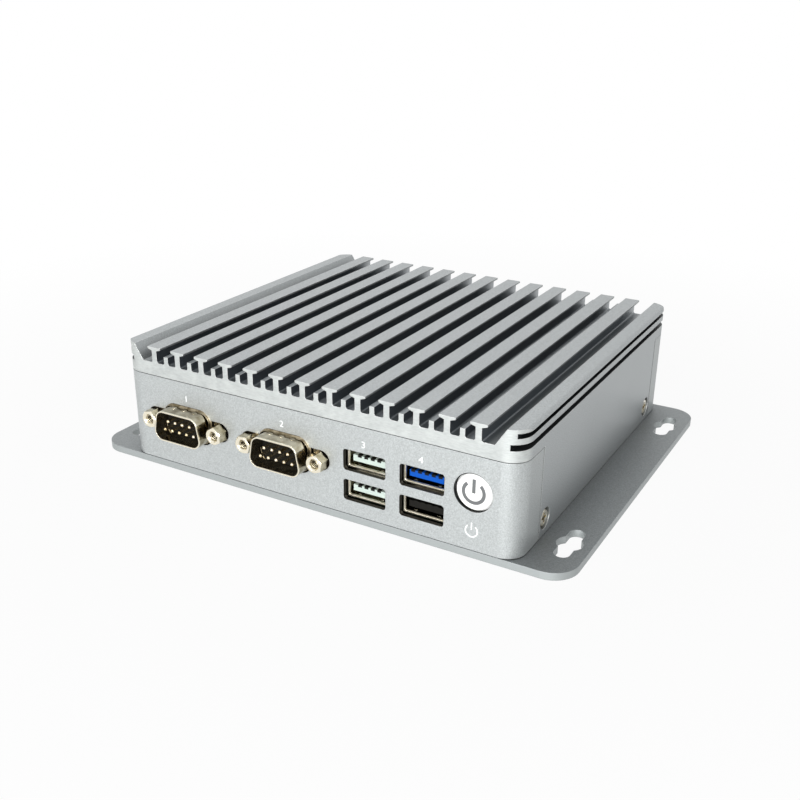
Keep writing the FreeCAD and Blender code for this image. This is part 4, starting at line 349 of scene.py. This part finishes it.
def solder_mask(name):
    """Glass-epoxy board under green solder mask: dark, half glossy, with the faint relief of its tracks."""
    material, tree, surface, place = blank(name)
    cells = add(tree, "ShaderNodeTexVoronoi", {"Vector": place, "Scale": 1 / (2.4 * MM), "Randomness": 0.35},
                distance="MANHATTAN", feature="F1")
    tracks = mask(tree, (cells.outputs["Distance"], 0.42, 0.5))
    bump = add(tree, "ShaderNodeBump", {"Height": tracks, "Strength": 0.4, "Distance": 0.04 * MM})
    tree.links.new(painted(tree, tint("#0a1a12"), (tracks, tint("#12291d"))), surface.inputs["Base Color"])
    tree.links.new(bump.outputs["Normal"], surface.inputs["Normal"])
    surface.inputs["Roughness"].default_value = 0.35
    surface.inputs["Coat Weight"].default_value = 0.4
    return material


FINISH = {
    # Extruded, blasted and anodised: even satin grey with painted shade in its channels, grooves and nooks,
    # painted highlights on its edges, and pale milled ends.
    "extruded_aluminium": blasted_aluminium("blasted_extrusion", "#acb0b1", "#dcdedd", 0.46, cut_ends, 0.35),
    # Milled, blasted and anodised: the same satin, a little paler, with thin dark joints, a faint painted
    # highlight on its edges, painted shade on the walls of its openings and a painted shadow round the
    # button.
    "milled_aluminium": blasted_aluminium("blasted_panel", "#b1b5b5", "#b9bdbd", 0.48, cut_openings),
    # Blasted sheet: a darker, duller grey, with painted shade in its nooks, painted highlights on its edges,
    # and painted light that makes its upright cut edges paler.
    "plate_aluminium": blasted_aluminium("blasted_plate", "#8f9394", "#c0c4c4", 0.50, lit_cut_edges, 0.45),
    # Zinc-plated steel: bright and slightly warm, with soft patches.
    "zinc_steel": plated_metal("zinc_plated_steel", "#fffbf0", "#eee5cb", "#c4b78f", 0.28, 2 * MM),
    # Bright nickel on steel: a warm mirror, with painted brown shade in its hollows and a painted highlight
    # on its front rim.
    "nickel_steel": plated_metal("nickel_plated_steel", "#c8c0ac", "#8a806a", "#2c2417", 0.20, 3 * MM,
                                 SHELL_TIP),
    # Nickel on turned brass: warmer, with a paler painted shade in its hollows and a painted highlight on its
    # front rim.
    "nickel_brass": plated_metal("nickel_plated_brass", "#cfc6ae", "#978c70", "#3a3122", 0.22, 2 * MM,
                                 SCREW_FACE, 0.3 * MM),
    # Gold flash on bronze, drawn nearly white: a painted highlight, so that the pins show as bright dots.
    "gold_contact": plated_metal("gold_flashed_bronze", "#fff4de", "#e3cf9e", "#8f7a4c", 0.22),
    # Glass-filled polyester: nearly black, and dull enough not to mirror the studio.
    "black_plastic": moulded_plastic("black_polyester", "#12110e", 0.5, gloss=0.15),
    # The same plastic in a strong, even blue.
    "blue_plastic": moulded_plastic("blue_polyester", "#004cab", 0.4, gloss=0.2),
    # ABS: clean white with a soft shine, and a little light let in.
    "white_plastic": moulded_plastic("white_abs", "#f4f5f3", 0.32, glow=0.15),
    # Epoxy board: dark green and half glossy.
    "circuit_board": solder_mask("green_solder_mask"),
    # Silicone pad: flat grey-blue with a coarse grain.
    "thermal_rubber": moulded_plastic("grey_silicone_pad", "#8b929d", 0.7, 0.6 * MM, 0.05 * MM),
    # Ferrite and moulded chips: dark grey and dull.
    "board_part": moulded_plastic("ferrite_black", "#2a2a2c", 0.5),
    # Stainless steel: plain bright grey.
    "steel_cell": plated_metal("stainless_cell", "#d5d5d2", "#b5b5b0", "#606060", 0.25),
}
# A pale, bright plating for the cut threads and rolled lips: a painted highlight, paler than the metal they
# belong to, as they catch the light.
highlight_plating = plated_metal("highlight_plating", "#fbf6e8", "#dcd3ba", "#a3987a", 0.3, 2 * MM)
# Gold on bronze, seen deep inside a socket, in a darker brown copy of the gold: painted shade.
shaded_spring = plated_metal("shaded_gold_spring", "#8a7a58", "#4d4128", "#15120c", 0.3)
# Nickel in the bend of a drawn shell, in a browner copy of the nickel: a painted dark reflection.
shaded_hood_metal = plated_metal("shaded_nickel_bend", "#a99e86", "#6d624a", "#3d3322", 0.3, 1.5 * MM)
OWN_FINISH = {
    # Tinned shells: one pair is painted paler inside, standing for the light its white plastic throws back,
    # and the other pair darker, painted shade.
    "usb_shell_left": plated_metal("tinned_steel_bounce_lit", "#e3dcc6", "#b4ab90", "#968d6e", 0.24, 3 * MM,
                                   USB_FACE, 0.8 * MM),
    "usb_shell_right": plated_metal("tinned_steel_shaded", "#b9b09b", "#6b614c", "#1f1910", 0.24, 3 * MM,
                                    USB_FACE, 0.8 * MM),
    # Unfilled nylon: greenish white, and slightly see-through at its edges.
    "usb_insulator_left": moulded_plastic("natural_nylon", "#bac7c0", 0.4, glow=0.1, gloss=0.3),
    # The USB contacts get the brown copy of the gold, painted shade.
    "usb_contacts_left": shaded_spring,
    "usb_contacts_right": shaded_spring,
}
# Screen-printing ink: flat, without the shine of what it is printed on.
symbol_grey = moulded_plastic("grey_pad_print", "#646667", 0.5)
print_white = moulded_plastic("white_screen_print", "#f6f8f9", 0.55)

for entry in frame["record"]["subparts"]:
    mesh = nodes[entry["node"]].data
    mesh.materials.clear()
    mesh.materials.append(OWN_FINISH.get(entry["node"], FINISH[entry["material_slot"]]))


# ---------------------------------------------------------------- ways of making a surface

RIGHT, AHEAD, UP = (1.0, 0.0, 0.0), (0.0, -1.0, 0.0), (0.0, 0.0, 1.0)


def finished(name, points, faces, material, body, slot, smooth=False):
    """A mesh object from whole arrays of points and faces, riding on a body."""
    mesh = bpy.data.meshes.new(name)
    mesh.from_pydata(np.asarray(points, float).reshape(-1, 3).tolist(), [], faces)
    mesh.validate()
    mesh.update()
    if smooth:
        mesh.shade_smooth()
    else:
        mesh.shade_flat()
    mesh.materials.append(material)
    piece = bpy.data.objects.new(name, mesh)
    bpy.context.scene.collection.objects.link(piece)
    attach(piece, body)


def joined(parts):
    """Several (points, faces) pairs as one, with the faces' numbers moved up."""
    points, faces, start = [], [], 0
    for some_points, some_faces in parts:
        points.append(some_points)
        faces += [[index + start for index in face] for face in some_faces]
        start += len(some_points)
    return np.concatenate(points), faces


def carried(path, side, up, profile):
    """A closed profile carried along a path: point = path + side * profile u + up * profile v.

    Side and up are one vector each, or a row of them with one for each station of the path; the
    profile is a loop of (u, v) pairs. Both ends are closed by the profile itself.
    """
    path, profile = np.asarray(path, float), np.asarray(profile, float)
    side, up = (np.broadcast_to(part, path.shape) for part in (side, up))
    stations, corners = len(path), len(profile)
    points = path[:, None] + side[:, None] * profile[None, :, :1] + up[:, None] * profile[None, :, 1:]
    row = np.arange(stations - 1)[:, None] * corners
    here = np.arange(corners)[None]
    after = (here + 1) % corners
    quads = np.stack([row + here, row + after, row + corners + after, row + corners + here], -1)
    faces = quads.reshape(-1, 4).tolist()
    faces.append(list(range(corners))[::-1])
    faces.append((np.arange(corners) + (stations - 1) * corners).tolist())
    return points.reshape(-1, 3), faces


def rolled(x, y, z, centre, angle, radius, steps):
    """A closed tube round an opening, made of one ring for each step (out, back).

    A ring's points are centre + (radius + out) (cos t, sin t) in x and z, at depth y + back. Each
    ring is joined to the next, and the last one to the first.
    """
    rings = np.stack([np.stack([x + centre[:, 0] + (radius + out) * np.cos(angle),
                                np.full(len(angle), y + back),
                                z + centre[:, 1] + (radius + out) * np.sin(angle)], 1)
                      for out, back in steps])
    laps, count = rings.shape[:2]
    here = np.arange(count)[None]
    after = (here + 1) % count
    row = np.arange(laps)[:, None] * count
    following = (row + count) % (laps * count)
    quads = np.stack([row + here, following + here, following + after, row + after], -1)
    return rings.reshape(-1, 3), quads.reshape(-1, 4).tolist()


# ---------------------------------------------------------------- printing

PRINT_DEPTH = 0.03 * MM


def printed_strip(path, side, width):
    """A flat strip of ink carried along a path: its section is a rectangle that stands out to the front."""
    half = width / 2
    return carried(path, side, AHEAD, [(-half, 0), (half, 0), (half, PRINT_DEPTH), (-half, PRINT_DEPTH)])


def power_symbol(name, x, y, z, radius, stroke, low, high, gap, material, body):
    """Ring open at the top with an upright bar through the gap, from low to high above the ring's centre.

    The ring's middle line is (x + r sin t, z + r cos t), with t from the gap to a full turn less the gap.
    """
    angle = np.linspace(gap, 2 * math.pi - gap, 64)
    out = np.stack([np.sin(angle), 0 * angle, np.cos(angle)], 1)
    ring = printed_strip(np.array([x, y, z]) + out * (radius - stroke / 2), out, stroke)
    bar = printed_strip([[x, y, z + low], [x, y, z + high]], RIGHT, stroke)
    finished(name, *joined([ring, bar]), material, body, "white_plastic")


# The button's sign is printed slightly off its middle. A small one stands on the panel below the button.
power_symbol("button_symbol", button_x - 0.18 * MM, button_low.y, button_z - 0.15 * MM,
             radius=3.5 * MM, stroke=1.0 * MM, low=-0.2 * MM, high=3.9 * MM, gap=math.radians(40),
             material=symbol_grey, body="button")
power_symbol("panel_power_symbol", 53.4 * MM, panel_low.y, 8.25 * MM,
             radius=1.95 * MM, stroke=0.36 * MM, low=0.25 * MM, high=2.45 * MM, gap=math.radians(38),
             material=print_white, body="housing")

NUMBER_LEVEL = 25.1 * MM
NUMBER_HEIGHT = 2.75 * MM
NUMBER_STRETCH = 1.15
NUMBER_PLACES = {"1": -42.9 * MM, "2": -7.6 * MM, "3": 19.9 * MM, "4": 37.9 * MM}


def printed_number(text, x, z):
    """A plain port number printed on the front panel."""
    curve = bpy.data.curves.new(f"number_{text}", "FONT")
    curve.body = text
    curve.size = NUMBER_HEIGHT
    curve.extrude = PRINT_DEPTH / 2
    curve.align_x = "CENTER"
    curve.align_y = "CENTER"
    flat = bpy.data.objects.new(f"number_{text}_text", curve)
    bpy.context.scene.collection.objects.link(flat)
    bpy.context.view_layer.update()
    mesh = bpy.data.meshes.new_from_object(flat.evaluated_get(bpy.context.evaluated_depsgraph_get()))
    bpy.data.objects.remove(flat)
    points = np.empty(len(mesh.vertices) * 3)
    mesh.vertices.foreach_get("co", points)
    points = points.reshape(-1, 3)
    placed = np.stack([points[:, 0] * NUMBER_STRETCH + x, panel_low.y - PRINT_DEPTH / 2 - points[:, 2],
                       points[:, 1] + z], 1)
    mesh.vertices.foreach_set("co", placed.ravel())
    mesh.materials.clear()
    mesh.materials.append(print_white)
    mesh.name = f"number_{text}"
    piece = bpy.data.objects.new(f"number_{text}", mesh)
    bpy.context.scene.collection.objects.link(piece)
    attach(piece, "housing")


for text, x in NUMBER_PLACES.items():
    printed_number(text, x, NUMBER_LEVEL)


# ---------------------------------------------------------------- threads in the jackscrews

THREAD_WALL = 1.21 * MM     # just outside the bore's wall, whose radius is 1.2 mm
THREAD_PITCH = 0.635 * MM   # 40 turns to the inch
THREAD_START = 0.1 * MM     # how far the first turn stands out of the bore's mouth
THREAD_TURNS = 5.5


def thread_in(place, inward):
    """Helical thread crest: a triangle carried along x = r cos t, z = r sin t, y = pitch t / 2 pi.

    The triangle points to the bore's axis and stands about 0.2 mm into the bore.
    """
    angle = np.linspace(0, THREAD_TURNS * 2 * math.pi, int(THREAD_TURNS * 20))
    out = np.stack([np.cos(angle), 0 * angle, np.sin(angle)], 1)
    along = np.array([0.0, inward, 0.0])
    path = place + out * THREAD_WALL + along * (angle * THREAD_PITCH / (2 * math.pi))[:, None]
    crest = [(0.02 * MM, -0.22 * MM), (0.02 * MM, 0.22 * MM), (-0.2 * MM, 0)]
    return carried(path, out, along, crest if inward > 0 else crest[::-1])


threads = [thread_in(np.array(mount["pos_m"]) + np.array(mount["axis"]) * THREAD_START,
                     -float(mount["axis"][1])) for mount in mounts if mount["kind"] == "threaded_hole"]
# The threads are given the pale plating, a painted highlight.
finished("jackscrew_threads", *joined(threads), highlight_plating, "housing", "nickel_brass", smooth=True)


# ---------------------------------------------------------------- inside the USB sockets

MOUTH_HALF_X = 6.25 * MM    # half of the 12.5 by 5.12 mm mouth
MOUTH_HALF_Z = 2.56 * MM
SPRING_OFFSET = 3.75 * MM   # the two contact fingers, out from the middle
CONTACT_PITCH = 2.1 * MM
TONGUE_FRONT = 0.97 * MM    # the tongue's front edge, behind the shell's


def usb_spring(x, floor_z, front):
    """Contact finger: a strip carried along y, its height a half sine wave above the shell's floor."""
    set_back, length, lift, bow = 1.6 * MM, 5.2 * MM, 0.05 * MM, 0.55 * MM
    half, thick = 0.75 * MM, 0.15 * MM
    share = np.linspace(0, 1, 13)
    path = np.stack([np.full(len(share), x), front + set_back + length * share,
                     floor_z + lift + bow * np.sin(share * math.pi)], 1)
    return carried(path, RIGHT, UP, [(-half, -thick), (-half, 0), (half, 0), (half, -thick)])


def socket_mouth(x, y, z):
    """Rolled lip inside a socket's mouth: a sloping strip carried round the rounded rectangle.

    The loop is the centre of each corner + radius (cos t, sin t), with t through a quarter turn.
    """
    radius, count = 0.6 * MM, 9
    angle = np.concatenate([np.linspace(0, math.pi / 2, count) + quarter * math.pi / 2
                            for quarter in range(4)])
    centre = np.stack([np.repeat([1, -1, -1, 1], count) * (MOUTH_HALF_X - radius),
                       np.repeat([1, 1, -1, -1], count) * (MOUTH_HALF_Z - radius)], 1)
    steps = np.array([(0.02, 0.0), (-0.10, 0.05), (-0.30, 0.60), (-0.30, 0.75), (0.02, 0.75)]) * MM
    return rolled(x, y, z, centre, angle, radius, steps)


def slot_shade(x, y, z):
    """Black block at the tongue's front edge, painted shade standing for a contact's slot: a rectangle
    carried back along y.
    """
    half, tall, depth = 0.625 * MM, 0.75 * MM, 1.2 * MM
    return carried([[x, y, z], [x, y + depth, z]], RIGHT, UP,
                   [(-half, 0), (-half, tall), (half, tall), (half, 0)])


for side, middle in usb_middle.items():
    fingers = [usb_spring(middle + offset, level - MOUTH_HALF_Z, -USB_FACE)
               for level in usb_level.values() for offset in (-SPRING_OFFSET, SPRING_OFFSET)]
    finished(f"usb_springs_{side}", *joined(fingers), FINISH["nickel_steel"], "housing", "nickel_steel",
             smooth=True)

for side, middle in usb_middle.items():
    mouths = [socket_mouth(middle, -USB_FACE, level) for level in usb_level.values()]
    # The rolled lips are given the pale plating, a painted highlight.
    finished(f"usb_mouths_{side}", *joined(mouths), highlight_plating, "housing", "nickel_steel", smooth=True)

# Black blocks at the tongues' fronts: painted shade standing for the contacts' slots.
slots = []
for side, middle in usb_middle.items():
    for row, level in usb_level.items():
        fast = (side, row) == ("right", "upper")        # the blue one has five contacts
        columns = (-2, -1, 0, 1, 2) if fast else (-1.5, -0.5, 0.5, 1.5)
        slots += [slot_shade(middle + column * CONTACT_PITCH, TONGUE_FRONT - USB_FACE, level + 0.05 * MM)
                  for column in columns]
finished("usb_slot_shades", *joined(slots), FINISH["black_plastic"], "housing", "black_plastic")


# ---------------------------------------------------------------- nine-pin shells

SHELL_HALF_TOP = 9.25 * MM      # half width of the shell's outline at its top,
SHELL_HALF_FOOT = 7.52 * MM     # and at its foot
SHELL_HALF_TALL = 4.9 * MM
HOOD_FRONT = 0.55 * MM          # how far the bend stands out of the panel
DENT_PITCH = 3.9 * MM           # three raised dents on top of each shell
DENT_BACK = 4.2 * MM            # their distance behind the shell's rim


def shell_hood(x, y, z):
    """Bend where a nine-pin shell rises from its flange, carried round the shell's outline.

    The outline is a rounded trapezium: each corner's centre plus a radius times (cos t, sin t), with
    t running between the normals of its two sides. At share s the bend has left the wall by
    r (1 - cos s) and gone back by r sin s.
    """
    radius, bend, wrap = 2.9 * MM, 0.68 * MM, 0.1 * MM
    tilt = math.atan2(SHELL_HALF_TOP - SHELL_HALF_FOOT, 2 * SHELL_HALF_TALL)
    starts = np.array([-tilt, math.pi / 2, math.pi + tilt, 3 * math.pi / 2])
    ends = np.append(starts[1:], 2 * math.pi - tilt)
    corners = np.array([(SHELL_HALF_TOP, SHELL_HALF_TALL), (-SHELL_HALF_TOP, SHELL_HALF_TALL),
                        (-SHELL_HALF_FOOT, -SHELL_HALF_TALL), (SHELL_HALF_FOOT, -SHELL_HALF_TALL)])
    middle = (starts + ends) / 2
    inset = radius / np.cos((ends - starts) / 2)
    centre = corners - inset[:, None] * np.stack([np.cos(middle), np.sin(middle)], 1)
    angle = np.linspace(starts, ends, 9, axis=1).ravel()
    share = np.linspace(0, math.pi / 2, 7)
    steps = np.stack([bend * (1 - np.cos(share)), bend * np.sin(share)], 1).tolist()
    steps += [(bend, bend + wrap), (-0.05 * MM, bend + wrap), (-0.05 * MM, 0.0)]
    return rolled(x, y, z, np.repeat(centre, 9, axis=0), angle, radius, steps)


def dimple(x, y, z, radius, height):
    """Low dome on a grid of ring share r and angle: height falls as 1 - r squared."""
    rings, count = 6, 24
    ring = np.linspace(0, 1, rings + 1)[1:, None]
    angle = np.linspace(0, 2 * math.pi, count, endpoint=False)[None]
    grid = np.stack([x + radius * ring * np.cos(angle), y + radius * ring * np.sin(angle),
                     z + height * (1 - ring ** 2) + 0 * angle], -1).reshape(-1, 3)
    points = np.concatenate([grid, [[x, y, z + height]]])
    row = np.arange(rings - 1)[:, None] * count
    here = np.arange(count)[None]
    after = (here + 1) % count
    quads = np.stack([row + here, row + count + here, row + count + after, row + after], -1)
    tip = len(points) - 1
    faces = quads.reshape(-1, 4).tolist()
    faces += np.stack([0 * here[0] + tip, here[0], after[0]], -1).tolist()
    faces.append((np.arange(count) + (rings - 1) * count)[::-1].tolist())
    return points, faces


hoods, domes = [], []
for side in ("left", "right"):
    low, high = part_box(f"serial_shell_{side}")
    hoods.append(shell_hood(port[f"serial_{side}_port"][0], panel_low.y - HOOD_FRONT, serial_level))
    domes += [dimple((low.x + high.x) / 2 + step * DENT_PITCH, low.y + DENT_BACK,
                     serial_level + SHELL_HALF_TALL - 0.02 * MM, radius=1.1 * MM, height=0.26 * MM)
              for step in (-1, 0, 1)]
# The bends get the browner copy of the nickel, a painted dark reflection.
finished("serial_hoods", *joined(hoods), shaded_hood_metal, "housing", "nickel_steel", smooth=True)
finished("shell_dimples", *joined(domes), FINISH["nickel_steel"], "housing", "nickel_steel", smooth=True)


# ---------------------------------------------------------------- floor, light and camera

def seen(tree):
    """1 for rays that reach the eye directly, off a shiny surface or through a clear one."""
    rays = add(tree, "ShaderNodeLightPath").outputs
    return either(tree, rays["Is Camera Ray"], rays["Is Glossy Ray"], rays["Is Transmission Ray"])


def studio_floor():
    """A white sweep that keeps a faint shadow near the object and shows as plain white farther out."""
    material, tree, surface, place = blank("white_paper")
    surface.inputs["Base Color"].default_value = tint("#f2f2f2")
    surface.inputs["Roughness"].default_value = 0.9
    away = add(tree, "ShaderNodeVectorMath", {0: place}, operation="LENGTH").outputs["Value"]
    white_share = add(tree, "ShaderNodeMapRange", {"Value": away, "From Min": 0.11, "From Max": 0.30,
                                                   "To Min": 0.94, "To Max": 1.0}).outputs["Result"]
    share = add(tree, "ShaderNodeMath", {0: seen(tree), 1: white_share}, operation="MULTIPLY")
    white = add(tree, "ShaderNodeEmission", {"Color": (1, 1, 1, 1), "Strength": 1.0}).outputs["Emission"]
    both = add(tree, "ShaderNodeMixShader", {0: share.outputs["Value"], 1: surface.outputs["BSDF"],
                                             2: white}).outputs["Shader"]
    tree.links.new(both, tree.nodes["Material Output"].inputs["Surface"])
    span, level = 12.0, -0.02 * MM
    corners = [(-span, -span, level), (span, -span, level), (span, span, level), (-span, span, level)]
    mesh = bpy.data.meshes.new("floor")
    mesh.from_pydata(corners, [], [[0, 1, 2, 3]])
    mesh.materials.append(material)
    floor = bpy.data.objects.new("floor", mesh)
    bpy.context.scene.collection.objects.link(floor)


def studio_world():
    """White where it is seen, and a low even fill where it lights."""
    world = bpy.data.worlds.new("studio")
    world.use_nodes = True
    tree = world.node_tree
    fill = add(tree, "ShaderNodeBackground", {"Color": (0.96, 0.98, 1.0, 1), "Strength": 0.10})
    white = add(tree, "ShaderNodeBackground", {"Color": (1, 1, 1, 1), "Strength": 1.0})
    both = add(tree, "ShaderNodeMixShader", {0: seen(tree), 1: fill.outputs["Background"],
                                             2: white.outputs["Background"]})
    tree.links.new(both.outputs["Shader"], tree.nodes["World Output"].inputs["Surface"])
    bpy.context.scene.world = world


def softbox(name, place, aim, width, height, power):
    """A rectangular lamp at a place, turned to face a point."""
    lamp = bpy.data.lights.new(name, "AREA")
    lamp.shape = "RECTANGLE"
    lamp.size = width
    lamp.size_y = height
    lamp.energy = power
    light = bpy.data.objects.new(name, lamp)
    light.location = place
    away = np.array(place) - np.array(aim)
    flat = math.hypot(away[0], away[1])
    light.rotation_euler = (math.atan2(flat, away[2]), 0, math.atan2(away[1], away[0]) + math.pi / 2)
    bpy.context.scene.collection.objects.link(light)


studio_floor()
studio_world()
body_middle = (0, 0, 0.02)
# A wide lamp low in front lights the panels and the milled ends, and a weak one above lights the fins.
softbox("key_softbox", (0.18, -0.92, 0.20), body_middle, width=0.9, height=0.35, power=12.2)
softbox("top_softbox", (-0.30, 0.30, 0.80), body_middle, width=0.6, height=0.6, power=1.5)

# The camera looks down on the front right corner from 0.34 m away.
camera_data = bpy.data.cameras.new("camera")
camera_data.sensor_width = 36
camera_data.lens = 45.383
camera = bpy.data.objects.new("camera", camera_data)
camera.location = (0.15160, -0.27383, 0.14368)
camera.rotation_euler = [math.radians(turn) for turn in (67.149, -0.512, 29.807)]
bpy.context.scene.collection.objects.link(camera)
bpy.context.scene.camera = camera
bpy.context.scene.view_settings.view_transform = "Standard"
